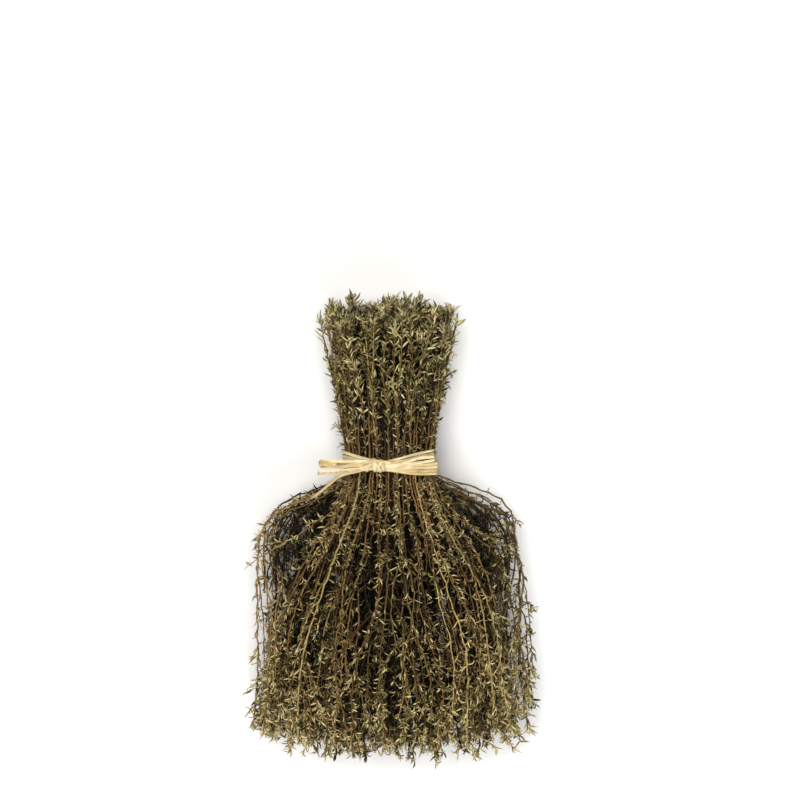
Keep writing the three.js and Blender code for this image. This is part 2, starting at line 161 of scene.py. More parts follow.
@dataclass
class Sprig:
    """One sprig: where it sits in the bundle, which way it lies and how far it goes."""

    kind: str
    number: int
    radius: float
    angle: float
    foot: float = 0.0
    wander: float = 0.0
    haste: float = 0.0
    twigs: list = field(default_factory=list)

    def __post_init__(self):
        tips = TIPS[self.kind]
        back = 0.5 - 0.5 * self.radius * math.sin(self.angle)
        side = (self.radius * math.cos(self.angle)) ** 2
        scatter = tips["scatter"] * (draw(self.number, 1) - 0.5)
        self.sense = 1 if self.kind == "head" else -1
        self.pitch = mix(*PITCH, draw(self.number, 2))
        self.phase = 2 * math.pi * draw(self.number, 3)
        self.reach = mix(tips["front"], tips["back"], back) + scatter - tips["rounding"] * side

    def seats(self, station, twig=None):
        """Where the main stem, or a twig, is at stations."""
        free = ease(np.abs(station) / SWAY_REACH)
        beat = np.sin(station * self.pitch + self.phase)
        slow = np.sin(station * self.pitch * 0.4 + 2 * self.phase)
        lean = ease((self.sense * station - (self.reach - LEAN_RUN)) / LEAN_RUN)
        radius = self.radius + TIP_LEAN[self.kind] * lean + self.wander * free * slow
        angle = self.angle + SWAY * free * beat + self.wander * free * beat
        if twig:
            past = np.clip((self.sense * station - twig["start"]) / TWIG_RUN, 0, 1)
            fork = past * (2 - past)
            radius = radius + twig["drift"] * fork
            angle = angle + twig["turn"] * fork
        return place(radius, angle, station, self.haste)

    def line(self, start, end, twig=None):
        steps = max(8, int(abs(end - start)))
        return Line(self.seats(np.linspace(start, end, steps + 1), twig))

    def stem_line(self):
        return self.line(-self.sense * self.foot, self.sense * self.reach)

    def twig_line(self, twig):
        return self.line(self.sense * twig["start"], self.sense * twig["reach"], twig)


def unit(vectors):
    return vectors / np.maximum(1e-9, np.linalg.norm(vectors, axis=-1, keepdims=True))


class Line:
    """A smooth line through close points."""

    def __init__(self, points):
        self.points = np.asarray(points, float)
        steps = np.linalg.norm(np.diff(self.points, axis=0), axis=1)
        self.marks = np.concatenate([[0], np.cumsum(steps)])
        self.length = self.marks[-1]

    def at(self, distances):
        columns = [np.interp(distances, self.marks, column) for column in self.points.T]
        return np.stack(columns, axis=-1)

    def headings(self, distances, span=1.0):
        ahead = self.at(np.minimum(distances + span, self.length))
        return unit(ahead - self.at(np.maximum(distances - span, 0)))


def towards(first, second, angle):
    """Directions turned from the first towards the second, which is square to it."""
    return first * np.cos(angle)[:, None] + second * np.sin(angle)[:, None]


def frames(headings, reference):
    """Side and normal directions square to each heading."""
    along = (headings @ reference)[:, None] * headings
    side = unit(reference - along)
    return side, np.cross(headings, side)


# ---------------------------------------------------------------- master shapes


@dataclass
class Shape:
    """A master's points, triangles and map, which holds a place across, along and underneath."""

    points: np.ndarray
    faces: np.ndarray
    chart: np.ndarray


def start(add, **settings):
    """Adds a primitive and opens it for modelling, all selected."""
    bpy.ops.object.select_all(action="DESELECT")
    add(**settings)
    bpy.ops.object.mode_set(mode="EDIT")
    bpy.ops.mesh.select_all(action="SELECT")
    return bpy.context.object


def pick(obj, wanted):
    """Selects the vertices of the mesh in edit mode that are wanted by their place."""
    bpy.ops.object.mode_set(mode="OBJECT")
    chosen = [bool(wanted(vertex.co)) for vertex in obj.data.vertices]
    obj.data.polygons.foreach_set("select", [False] * len(obj.data.polygons))
    obj.data.edges.foreach_set("select", [False] * len(obj.data.edges))
    obj.data.vertices.foreach_set("select", chosen)
    bpy.ops.object.mode_set(mode="EDIT")
    bpy.ops.mesh.select_mode(type="VERT")


def shift(obj, wanted, move):
    pick(obj, wanted)
    bpy.ops.transform.translate(value=move)


def extrude(move):
    bpy.ops.mesh.extrude_region_move(TRANSFORM_OT_translate={"value": move})


def take(obj, chart):
    """Closes the edit, reads the master and puts the modelling object away."""
    bpy.ops.mesh.select_all(action="SELECT")
    bpy.ops.mesh.normals_make_consistent(inside=False)
    bpy.ops.object.mode_set(mode="OBJECT")
    mesh = obj.data
    mesh.calc_loop_triangles()
    points = np.array([vertex.co for vertex in mesh.vertices])
    faces = np.array([triangle.vertices for triangle in mesh.loop_triangles])
    bpy.data.objects.remove(obj)
    bpy.data.meshes.remove(mesh)
    return Shape(points, in_order(faces), chart(points))


def in_order(faces):
    """Triangles from their first vertex on and sorted, as the operators' order isn't a fixed one."""
    corner = faces.argmin(axis=1)[:, None] + np.arange(3)
    turned = np.take_along_axis(faces, corner % 3, axis=1)
    return turned[np.lexsort(turned.T[::-1])]


def rings_chart(points):
    """Along by ring number, across by x, underneath where y is below zero."""
    across = points[:, 0] / max(1e-6, np.abs(points[:, 0]).max())
    along = points[:, 2] / points[:, 2].max()
    return np.stack([across, along, (points[:, 1] < 0).astype(float)], axis=1)


def jointed_stick(joints):
    """A square stem with a ring at each joint and one halfway to the next, a unit apart."""
    obj = start(bpy.ops.mesh.primitive_circle_add, vertices=4, radius=1.0, fill_type="NGON")
    for ring in range(1, 2 * joints + 1):
        extrude((0, 0, 1))
        swell = 0.8 if ring % 2 else 1.25
        bpy.ops.transform.resize(value=(swell, swell, 1), center_override=(0, 0, ring))
    return take(obj, rings_chart)


def packed_stick(rings, stems):
    """Many stems pressed into one body: a closed tube with a round flute for each of them."""
    sides = 2 * stems
    obj = start(bpy.ops.mesh.primitive_circle_add, vertices=sides, radius=1.0, fill_type="NGON")
    pick(obj, lambda co: math.cos(stems * math.atan2(co.x, co.y)) < 0)
    bpy.ops.transform.resize(value=(0.88, 0.88, 1), center_override=(0, 0, 0))
    pick(obj, lambda co: True)
    for _ in range(rings - 1):
        extrude((0, 0, 1))
    return take(obj, rings_chart)


def blade(half_width, arch, thick, length, widths, bend=0.0, twist=0.0):
    """A closed leaf with a ridge and two edges, drawn out ring by ring and closed at the tip.

    Widths are shares of the half-width at equal steps. Bend and twist are in degrees in all.
    """
    obj = start(bpy.ops.mesh.primitive_circle_add, vertices=3, radius=1.0, fill_type="NGON")
    corner = math.sin(2 * math.pi / 3)
    bpy.ops.transform.resize(value=(half_width / corner, 0.001, 1), center_override=(0, 0, 0))
    edge = 0.5 * half_width
    shift(obj, lambda co: abs(co.x) > edge, (0, -arch, 0))
    shift(obj, lambda co: abs(co.x) < edge, (0, thick, 0))
    pick(obj, lambda co: True)
    steps = len(widths)
    stride = length / steps
    tilt = math.radians(bend) / steps
    turn = math.radians(twist) / steps
    bpy.ops.transform.resize(value=(widths[0], widths[0], 1), center_override=(0, 0, 0))
    centre = np.zeros(3)
    for step in range(1, steps + 1):
        heading = tilt * (step - 0.5)
        move = np.array([0, -math.sin(heading) * stride, math.cos(heading) * stride])
        centre = centre + move
        extrude(tuple(move))
        if step == steps:
            bpy.ops.mesh.merge(type="CENTER")
            break
        ratio = widths[step] / widths[step - 1]
        middle = tuple(centre)
        bpy.ops.transform.resize(value=(ratio, ratio, ratio), center_override=middle)
        bpy.ops.transform.rotate(value=-tilt, orient_axis="X", center_override=middle)
        if turn:
            bpy.ops.transform.rotate(value=turn, orient_axis="Z", center_override=middle)
    return take(obj, lambda points: blade_chart(points, steps))


def blade_chart(points, steps):
    """Vertices stand ring by ring, three to a ring, with the ridge first. No side is underneath."""
    index = np.arange(len(points))
    across = np.array([0.0, -1.0, 1.0])[index % 3]
    across[-1] = 0.0
    along = np.minimum(index // 3, steps) / steps
    return np.stack([across, along, np.zeros(len(points))], axis=1)


def flower_cup(length):
    """A dried calyx: a narrow tube that swells, opens in a mouth and ends in a pointed lip."""
    obj = start(bpy.ops.mesh.primitive_circle_add, vertices=5, radius=0.2, fill_type="NGON")
    for rise, grow in ((0.35, 2.1), (0.45, 1.05), (0.2, 1.3)):
        extrude((0, 0, rise * length))
        bpy.ops.transform.resize(value=(grow, grow, 1), center_override=(0, 0, 0))
    bpy.ops.mesh.inset(thickness=0.16, depth=0)
    bpy.ops.transform.translate(value=(0, 0, -0.25 * length))
    top = length * 0.95
    shift(obj, lambda co: co.z > top and co.y > 0.2, (0, 0.15, 0.3 * length))
    return take(obj, rings_chart)


def strip(rings, folds):
    """A thin band with lengthwise folds, a ring for each step of its length, two units wide."""
    obj = start(bpy.ops.mesh.primitive_plane_add, size=2.0)
    bpy.ops.transform.resize(value=(1, 0.08, 1), center_override=(0, 0, 0))
    bpy.ops.object.mode_set(mode="OBJECT")
    for edge in obj.data.edges:
        ends = [obj.data.vertices[v].co.y for v in edge.vertices]
        edge.select = abs(ends[0] - ends[1]) < 1e-6
    for polygon in obj.data.polygons:
        polygon.select = False
    bpy.ops.object.mode_set(mode="EDIT")
    bpy.ops.mesh.select_mode(type="EDGE")
    bpy.ops.mesh.subdivide(number_cuts=len(folds) - 2)
    spacing = 2 / (len(folds) - 1)
    for column, height in enumerate(folds):
        x = -1 + column * spacing
        shift(obj, lambda co, x=x: abs(co.x - x) < 0.4 * spacing, (0, height, 0))
    pick(obj, lambda co: True)
    for _ in range(rings - 1):
        extrude((0, 0, 1))
    return take(obj, rings_chart)


# ---------------------------------------------------------------- copies


def copies(shape, roots, across, deep, along, size):
    """The master's points at each root, turned to its three directions."""
    local = shape.points
    turned = (
        local[None, :, 0, None] * across[:, None, :]
        + local[None, :, 1, None] * deep[:, None, :]
        + local[None, :, 2, None] * along[:, None, :]
    )
    return roots[:, None, :] + turned * size[:, None, None]


def bend_along(shape, centres, sides, normals, wide, deep):
    """A master whose rings stand a unit apart, drawn along a line."""
    ring = np.rint(shape.points[:, 2]).astype(int)
    return (
        centres[ring]
        + sides[ring] * (shape.points[:, 0] * wide[ring])[:, None]
        + normals[ring] * (shape.points[:, 1] * deep[ring])[:, None]
    )


class Growth:
    """The copies that make up one piece. Tone runs from dark to light, and on the thyme it also holds
    painted shade; warmth runs from green to brown.
    """

    def __init__(self):
        self.points = []
        self.faces = []
        self.charts = []
        self.tones = []
        self.finishes = []
        self.count = 0

    def add(self, shape, points, tone, warmth, finish):
        """Adds copies of a master, given as points[copy, vertex, xyz]."""
        many, each = points.shape[:2]
        starts = self.count + each * np.arange(many)
        self.points.append(points.reshape(-1, 3))
        self.faces.append((shape.faces[None] + starts[:, None, None]).reshape(-1, 3))
        self.charts.append(np.tile(shape.chart, (many, 1)))
        look = np.stack([np.broadcast_to(tone, many), np.broadcast_to(warmth, many)], axis=1)
        self.tones.append(np.repeat(look, each, axis=0))
        self.finishes.append(np.full(many * len(shape.faces), finish))
        self.count += many * each

    def make(self, name, materials):
        points = np.concatenate(self.points)
        give = PRESSED_BELOW - LEAST_HEIGHT
        pressed = LEAST_HEIGHT + give * np.exp(np.minimum(0, points[:, 2] - PRESSED_BELOW) / give)
        points[:, 2] = np.where(points[:, 2] < PRESSED_BELOW, pressed, points[:, 2])
        obj = mesh_piece(name, points * MM, np.concatenate(self.faces), materials)
        mesh = obj.data
        mesh.polygons.foreach_set("material_index", np.concatenate(self.finishes).astype(np.int32))
        charts = mesh.attributes.new("chart", "FLOAT_VECTOR", "POINT")
        charts.data.foreach_set("vector", np.concatenate(self.charts).astype(np.float32).ravel())
        tones = np.concatenate(self.tones).astype(np.float32)
        for column, label in enumerate(("tone", "warmth")):
            attribute = mesh.attributes.new(label, "FLOAT", "POINT")
            attribute.data.foreach_set("value", np.ascontiguousarray(tones[:, column]))
        return obj


def mesh_piece(name, points, faces, materials):
    mesh = bpy.data.meshes.new(name)
    mesh.vertices.add(len(points))
    mesh.vertices.foreach_set("co", points.astype(np.float32).ravel())
    mesh.loops.add(3 * len(faces))
    mesh.loops.foreach_set("vertex_index", faces.astype(np.int32).ravel())
    mesh.polygons.add(len(faces))
    mesh.polygons.foreach_set("loop_start", 3 * np.arange(len(faces), dtype=np.int32))
    mesh.polygons.foreach_set("loop_total", np.full(len(faces), 3, np.int32))
    mesh.polygons.foreach_set("use_smooth", np.ones(len(faces), bool))
    mesh.update(calc_edges=True)
    mesh.validate()
    for material in materials:
        mesh.materials.append(material)
    obj = bpy.data.objects.new(name, mesh)
    bpy.context.scene.collection.objects.link(obj)
    return obj


# ---------------------------------------------------------------- leafy stems

STEM_FINISH, LEAF_FINISH, CUP_FINISH = 0, 1, 2


def make_masters():
    short = [0.55, 1.0]
    full = [0.5, 1.0, 0.8]
    slender = [0.55, 1.0, 0.9, 0.6]
    return {
        # half-width, arch, thickness, length
        "leaves": [
            blade(0.74, 0.25, 0.12, 4.6, full, bend=30),
            blade(0.56, 0.35, 0.15, 4.6, short, bend=25),
            blade(0.46, 0.35, 0.15, 4.4, full, bend=-45, twist=80),
            blade(0.42, 0.3, 0.15, 4.4, slender, bend=150),
            blade(0.4, 0.3, 0.15, 4.2, slender, bend=-130, twist=-60),
            blade(0.55, 0.25, 0.12, 3.0, short, bend=40),
            blade(0.38, 0.3, 0.15, 3.4, full, bend=100, twist=120),
        ],
        "plain_leaves": [
            blade(0.62, 0.35, 0.15, 4.4, short, bend=30),
            blade(0.5, 0.4, 0.15, 4.2, short, bend=-70, twist=60),
            blade(0.5, 0.35, 0.15, 4.2, full, bend=120),
        ],
        "cup": flower_cup(length=2.6),
        "sticks": {joints: jointed_stick(joints) for joints in (28, 14, 5)},
        "packed": packed_stick(rings=34, stems=44),
    }


# The share of each kind of leaf, in the order above.
LEAF_SHARES = {
    "leaves": {
        "head": [0.3, 0.32, 0.14, 0.05, 0.03, 0.12, 0.04],
        "skirt": [0.12, 0.25, 0.2, 0.12, 0.08, 0.15, 0.08],
    },
    "plain_leaves": {
        "head": [0.65, 0.27, 0.08],
        "skirt": [0.5, 0.35, 0.15],
    },
}
# Angles are in radians, sizes are shares of a master's, and pairs are ranges.
TIP_GAP = 2.3  # between the joints next to a tip
KNEE = (0.3, 1.4)  # the gaps between joints that a crooked stem's steps aside go by
STOUT = (0.8, 1.3)  # one stem beside another
UNEVEN = (0.88, 1.12)  # along one stem
CUT_FOOT = 0.75  # the radius at a cut foot, before the stem is at its full one
FOOT_SHADE = 0.35
SPREAD = {"roll": 0.6, "warmth": 0.22, "azimuth": 0.25, "jog": 0.35}
TONE_SPREAD = (0.1, 0.24)  # of the darkest leaves, and how it grows with tone
SLANT_LIMITS = (0.1, 2.2)
PAIR_SIZE = (0.72, 1.15)
TUFT = {"share": 0.55, "slant": (0.1, 1.2), "size": 0.66}
SCRAP = {"slant": (0.2, 1.7), "size": (0.3, 0.7)}
TIP = {"back": 2.2, "slant": (0.05, 1.0), "size": (0.45, 0.85), "lighter": 0.08}
CUP = {"joints": 4, "slant": (0.3, 1.2), "size": (0.7, 1.0)}
SIDE = {
    "joints": 5, "crooked": 0.07, "steps": 9,
    "slant": (0.45, 0.9), "lower": 0.6, "bend": 0.55, "curl": 0.7,
    "leafy": 0.9, "tip": 3, "warmer": 0.15,
}


def joint_marks(length, joints):
    """Distances of a stem's joints from its foot, closest together at the tip."""
    number = np.arange(joints + 1)
    first = min(TIP_GAP, 0.95 * length / joints)
    growth = (length - first * joints) / joints**2
    return length - (first * number + growth * number**2)[::-1]


def lie_on_table(roots, across, deep, along, length):
    """Turns up the leaves that would reach through the table."""
    reach = length * along[:, 2]
    least = LEAF_REST - roots[:, 2]
    low = reach < least
    along = along.copy()
    along[low, 2] = np.clip(least[low] / length[low], -0.9, 0.9)
    along = unit(along)
    deep = np.where(low[:, None], unit(np.cross(along, across)), deep)
    return np.where(low[:, None], np.cross(deep, along), across), deep, along


class Gardener:
    """Grows stems, leaves and side shoots into a piece."""

    def __init__(self, masters, growth, seed, kinds="leaves"):
        self.masters = masters
        self.growth = growth
        self.rng = np.random.default_rng(seed)
        self.kinds = kinds

    def stem(self, line, joints, size, crooked, bark):
        """A jointed stem along a line. Returns its joints: marks, places, headings and radii."""
        rng = self.rng
        marks = joint_marks(line.length, joints)
        stops = np.sort(np.concatenate([marks, (marks[1:] + marks[:-1]) / 2]))
        centres = line.at(stops)
        side, normal = frames(line.headings(stops), REFERENCE)
        step = crooked * np.clip(np.gradient(stops) / 2, *KNEE)
        knee = rng.normal(0, 1, (len(stops), 2)) * step[:, None]
        knee[0] = 0
        centres = centres + side * knee[:, :1] + normal * knee[:, 1:]
        share = np.clip(stops / line.length, 0, 1)
        radius = mix(size["foot"], size["tip"], share**1.3)
        radius = radius * mix(CUT_FOOT, 1, ease(share / 0.2))
        radius = radius * rng.uniform(*STOUT) * rng.uniform(*UNEVEN, len(stops))
        shape = self.masters["sticks"][joints]
        points = bend_along(shape, centres, side, normal, radius, radius)
        self.growth.add(shape, points[None], bark["tone"], bark["warmth"], STEM_FINISH)
        up = np.repeat(share, len(shape.points) // len(share))
        self.growth.tones[-1][:, 0] -= FOOT_SHADE * (1 - ease(3.5 * up))
        headings = unit(np.gradient(centres, axis=0))
        return marks, centres[::2], headings[::2], radius[::2]

    def leaves(self, roots, headings, azimuth, slant, size, tone, look, thick=0.3):
        """One leaf at each root, at an azimuth round the stem and a slant from its heading."""
        rng = self.rng
        count = len(roots)
        side, normal = frames(headings, REFERENCE)
        out = towards(side, normal, azimuth)
        across = towards(normal, -side, azimuth)
        along = towards(headings, out, slant)
        deep = towards(-out, headings, slant)
        roll = rng.normal(0, SPREAD["roll"], count)
        across, deep = towards(across, deep, roll), towards(deep, -across, roll)
        roots = roots + out * (0.5 * thick)
        across, deep, along = lie_on_table(roots, across, deep, along, LEAF_LENGTH * size)
        spread = TONE_SPREAD[0] + TONE_SPREAD[1] * np.clip(tone, 0, 0.8)
        tone = np.clip(tone + rng.normal(0, 1, count) * spread, 0, 1)
        warmth = np.clip(look["warmth"] + rng.normal(0, SPREAD["warmth"], count), 0, 1)
        shares = LEAF_SHARES[self.kinds][look["kind"]]
        drawn = rng.choice(len(shares), count, p=shares)
        for kind, shape in enumerate(self.masters[self.kinds]):
            own = drawn == kind
            if own.any():
                points = copies(shape, roots[own], across[own], deep[own], along[own], size[own])
                self.growth.add(shape, points, tone[own], warmth[own], LEAF_FINISH)

    def pairs(self, joints, chance, size, look, tufts, skip=1):
        """Opposite leaves at the joints, each pair square to the last, with tufts between them."""
        rng = self.rng
        index = np.arange(len(chance))[skip:]
        roll = rng.uniform(0, math.pi)
        for half in (0, 1):
            kept = index[rng.random(len(index)) < chance[index]]
            azimuth = roll + kept * math.pi / 2 + half * math.pi
            azimuth = azimuth + rng.normal(0, SPREAD["azimuth"], len(kept))
            slant = np.clip(rng.normal(*look["slant"], len(kept)), *SLANT_LIMITS)
            self.at_joints(joints, kept, azimuth, slant, size, look)
        for _ in range(tufts):
            kept = index[rng.random(len(index)) < TUFT["share"] * chance[index]]
            azimuth = rng.uniform(0, 2 * math.pi, len(kept))
            slant = rng.uniform(*TUFT["slant"], len(kept))
            self.at_joints(joints, kept, azimuth, slant, TUFT["size"] * size, look)

    def at_joints(self, joints, kept, azimuth, slant, size, look):
        """A leaf at each of the kept joints."""
        if not len(kept):
            return
        rng = self.rng
        _, places, headings, radii = joints
        scale = size[kept] * rng.uniform(*PAIR_SIZE, len(kept))
        jog = headings[kept] * rng.normal(0, SPREAD["jog"], len(kept))[:, None]
        thick = float(radii[kept].mean())
        tone = mix(look["tone"], look["end"], ease(3.5 * kept / len(places) - 2.5))
        self.leaves(places[kept] + jog, headings[kept], azimuth, slant, scale, tone, look, thick)

    def scraps(self, joints, station, reach, count, tone, look):
        """Small curled leaves caught along a stem, between two stations."""
        rng = self.rng
        _, places, headings, _ = joints
        index = np.arange(len(places) - 1)
        index = index[(station[:-1] > reach[0]) & (station[:-1] < reach[1])]
        if not len(index) or not count:
            return
        kept = rng.choice(index, count)
        spots = mix(places[kept], places[kept + 1], rng.random((count, 1)))
        azimuth = rng.uniform(0, 2 * math.pi, count)
        slant = rng.uniform(*SCRAP["slant"], count)
        scale = rng.uniform(*SCRAP["size"], count)
        self.leaves(spots, headings[kept], azimuth, slant, scale, tone, look)

    def tip(self, joints, size, look, count):
        """The leaves crowded at the end of a stem."""
        rng = self.rng
        _, places, headings, _ = joints
        back = headings[-1] * rng.uniform(0, TIP["back"], (count, 1))
        azimuth = rng.uniform(0, 2 * math.pi, count)
        slant = rng.uniform(*TIP["slant"], count)
        scale = size * rng.uniform(*TIP["size"], count)
        heading = np.repeat(headings[-1:], count, axis=0)
        tone = look["end"] + TIP["lighter"]
        self.leaves(places[-1] - back, heading, azimuth, slant, scale, tone, look)

    def cups(self, joints, number):
        """Dried calyces round the last joints of a stem that flowered."""
        rng = self.rng
        _, places, headings, _ = joints
        near = len(places) - 1 - rng.integers(0, CUP["joints"], number)
        side, normal = frames(headings[near], REFERENCE)
        azimuth = rng.uniform(0, 2 * math.pi, number)
        slant = rng.uniform(*CUP["slant"], number)
        out = towards(side, normal, azimuth)
        across = towards(normal, -side, azimuth)
        along = towards(headings[near], out, slant)
        deep = towards(-out, headings[near], slant)
        shape = self.masters["cup"]
        size = rng.uniform(*CUP["size"], number)
        points = copies(shape, places[near], across, deep, along, size)
        tone = rng.uniform(0, 1, number)
        warmth = rng.uniform(0, 1, number)
        self.growth.add(shape, points, tone, warmth, CUP_FINISH)

    def side_shoot(self, place, heading, azimuth, length, size, look):
        """A short leafy shoot that leaves a joint, bends with the stem and ends in a tuft."""
        rng = self.rng
        side, normal = frames(heading[None], REFERENCE)
        out = side[0] * math.cos(azimuth) + normal[0] * math.sin(azimuth)
        slant = rng.uniform(*SIDE["slant"]) * (1 - SIDE["lower"] * max(0, out[2]))
        steps = np.linspace(0, 1, SIDE["steps"])
        angles = slant * (1 - SIDE["bend"] * steps) + rng.normal(0, SIDE["curl"]) * steps**2
        strides = heading * np.cos(angles)[:, None] + out * np.sin(angles)[:, None]
        points = place + (np.cumsum(strides, axis=0) - strides[0]) * length / SIDE["steps"]
        bark = {"tone": look["tone"], "warmth": min(1, look["warmth"] + SIDE["warmer"])}
        own = self.stem(Line(points), SIDE["joints"], SHOOT, SIDE["crooked"], bark)
        count = SIDE["joints"] + 1
        self.pairs(own, np.full(count, SIDE["leafy"]), np.full(count, size), look, 1)
        self.tip(own, size, look, SIDE["tip"])


REFERENCE = np.array([1.0, 0, 0])  # the sides of stems are turned towards this
STICK_JOINTS = (14, 28, 28)  # by detail
TUFTS = {"head": (0, 0, 1), "skirt": (1, 1, 2)}
SHOOT_CHANCE = {"head": (0, 0.05, 0.1), "skirt": (0, 0.14, 0.24)}
TIP_LEAVES = {"head": (3, 5, 7), "skirt": (3, 6, 9)}
SLANT = {"head": (0.62, 0.24), "skirt": (0.8, 0.38)}  # mean and spread
SCRAPS = {
    # stations, number by detail
    "head": [((1, 28), (0, 10, 22))],
    "skirt": [((2, 38), (0, 18, 46)), ((86, 112), (0, 6, 14))],
}
FLOWERED = {"below": 0.6, "share": 0.6, "cups": (3, 6, 9)}
# By station: the chance of a leaf on each side of a joint, and the size of the leaves. Skirt
# sprigs whose seats lift above low form the neck, where the leaves start later.
LEAFY = {
    "low": 0.1,
    "head": ([-40, 0, 3, 10, 60], [0.4, 0.3, 0.7, 0.85, 0.85]),
    "skirt": ([-30, 0, 4, 12, 60, 90, 115], [0.5, 0.3, 0.8, 0.9, 0.8, 0.9, 1.0]),
    "neck": ([-30, 0, 4, 20, 34, 90, 115], [0.5, 0.35, 0.6, 0.7, 0.85, 0.9, 1.0]),
}
LEAF_SIZE = {
    "low": 0.25,
    "head": ([-40, 0, 4, 14, 30, 60], [0.7, 0.5, 0.65, 0.9, 1.05, 1.05]),
    "skirt": ([-30, 0, 5, 14, 110], [0.7, 0.5, 0.75, 0.95, 0.95]),
    "neck": ([-30, 0, 25, 50, 110], [0.7, 0.5, 0.75, 0.95, 0.95]),
}
CROOKED = {"stem": 0.2, "twig": 0.16}
TIP_SIZE = {"stem": 0.9, "twig": 0.85}
TWIG_LEAVES = {"size": 0.92, "bare": 2, "run": 6}
TWIG_JOINTS = 14
# Tones go from 0, dark, to 1, light, and warmth from 0, green, to 1, brown.
SHOWN = {"mean": 0.74, "spread": 0.08, "tip": 0.08}
SHADE = {"most": 0.8, "radius": 0.95, "run": 0.25}  # painted shade: deeper seats are darker
TIP_SHADE = {"under": 0.2, "over": 0.4}  # the share of the painted shade that is left at the tips
WARMTH = {"head": (0.0, 0.6), "skirt": (0.15, 0.85)}
BARK = {"tone": (0.38, 0.88), "warmth": (0.1, 1)}
NECK_SCRAPS = {"end": 50, "lighter": 0.12}
# Side shoots grow from the first station on, and more of them near the tie and towards the tip.
SIDE_SHOOTS = {
    "first": 2, "near": 36, "end": 28, "more": 1.6,
    "length": (5, 13), "size": 0.74,
    "grown": {"head": 20, "skirt": 40},
}


def by_station(table, sprig, station):
    """Reads a table of the leaves for a sprig, at its joints' distances from the tie."""
    neck = sprig.kind == "skirt" and sprig.radius * math.sin(sprig.angle) >= table["low"]
    return np.interp(station, *table["neck" if neck else sprig.kind])


def sprig_look(sprig, rng):
    """The looks of a sprig's leaves and of its bark, with painted shade that makes them darker the deeper
    it sits.
    """
    shade = SHADE["most"] * min(1.0, max(0.0, (SHADE["radius"] - sprig.radius) / SHADE["run"]))
    shown = SHOWN["mean"] + rng.normal(0, SHOWN["spread"])
    side = "under" if math.sin(sprig.angle) < 0 else "over"
    look = {"kind": sprig.kind, "slant": SLANT[sprig.kind], "tone": shown - shade}
    look["end"] = shown + SHOWN["tip"] - TIP_SHADE[side] * shade
    look["warmth"] = rng.uniform(*WARMTH[sprig.kind])
    bark = {"tone": max(0.0, rng.uniform(*BARK["tone"]) - shade), "warmth": rng.uniform(*BARK["warmth"])}
    return look, bark


def grow_sprig(gardener, sprig, detail):
    """A sprig with its twigs. Detail is 2 for the outside, 1 for the layer below, 0 for the middle."""
    rng = gardener.rng
    look, bark = sprig_look(sprig, rng)
    joints = gardener.stem(sprig.stem_line(), STICK_JOINTS[detail], STEM, CROOKED["stem"], bark)
    station = sprig.sense * (joints[1][:, 1] - TIE_Y)
    leafy = by_station(LEAFY, sprig, station)
    size = by_station(LEAF_SIZE, sprig, station)
    gardener.pairs(joints, leafy, size, look, TUFTS[sprig.kind][detail], skip=0)
    gardener.tip(joints, TIP_SIZE["stem"], look, TIP_LEAVES[sprig.kind][detail])
    for reach, scraps in SCRAPS[sprig.kind]:
        near_tie = reach[1] < NECK_SCRAPS["end"]
        tone = look["tone"] + NECK_SCRAPS["lighter"] if near_tie else look["end"]
        gardener.scraps(joints, station, reach, scraps[detail], tone, look)
    low = sprig.radius * math.sin(sprig.angle) < FLOWERED["below"]
    if sprig.kind == "head" and low and rng.random() < FLOWERED["share"]:
        gardener.cups(joints, FLOWERED["cups"][detail])
    if detail:
        add_side_shoots(gardener, joints, station, sprig, SHOOT_CHANCE[sprig.kind][detail], look)
    for twig in sprig.twigs:
        grow_twig(gardener, sprig, twig, detail, look, bark)


def add_side_shoots(gardener, joints, station, sprig, chance, look):
    """Side shoots at some of the joints, shorter near the tie and near the tip."""
    rng = gardener.rng
    _, places, headings, _ = joints
    for index in range(2, len(places) - 2):
        past = station[index]
        left = sprig.reach - past
        crowded = left < SIDE_SHOOTS["end"] or past < SIDE_SHOOTS["near"]
        more = SIDE_SHOOTS["more"] if crowded else 1.0
        if past < SIDE_SHOOTS["first"] or rng.random() > chance * more:
            continue
        length = rng.uniform(*SIDE_SHOOTS["length"]) * min(1, left / 14 + 0.35)
        length *= min(1, past / SIDE_SHOOTS["grown"][sprig.kind] + 0.3)
        size = SIDE_SHOOTS["size"] * min(1, past / 40 + 0.6)
        own = dict(look, tone=mix(look["tone"], look["end"], ease((30 - left) / 15)))
        azimuth = rng.uniform(0, 2 * math.pi)
        gardener.side_shoot(places[index], headings[index], azimuth, length, size, own)


def grow_twig(gardener, sprig, twig, detail, look, bark):
    line = sprig.twig_line(twig)
    joints = gardener.stem(line, TWIG_JOINTS, TWIG, CROOKED["twig"], bark)
    station = sprig.sense * (joints[1][:, 1] - TIE_Y)
    bare = twig["start"] + TWIG_LEAVES["bare"]
    leafy = by_station(LEAFY, sprig, station) * ease((station - bare) / TWIG_LEAVES["run"])
    size = TWIG_LEAVES["size"] * by_station(LEAF_SIZE, sprig, station)
    gardener.pairs(joints, leafy, size, look, TUFTS[sprig.kind][detail])
    gardener.tip(joints, TIP_SIZE["twig"], look, TIP_LEAVES[sprig.kind][detail] - 1)
    if detail == 2:
        add_side_shoots(gardener, joints, station, sprig, SHOOT_CHANCE[sprig.kind][1], look)


# ---------------------------------------------------------------- the sprigs


def outer_sprig(number):
    """A sprig of the frame, with the one twig that it has there."""
    kind = ORDER[number % len(ORDER)]
    sprig = Sprig(kind, number, OUTER_SEATS[number % 2], SECTOR * (number + 0.25))
    sprig.foot = mix(*FEET[kind], draw(number, 4))
    fork = FORKS[kind]
    begin = fork["start"] + fork["spread"] * draw(number, 6)
    reach = sprig.reach - fork["shorter"]
    sprig.twigs = [{"start": begin, "turn": FORK_TURN, "drift": fork["drift"], "reach": reach}]
    return sprig


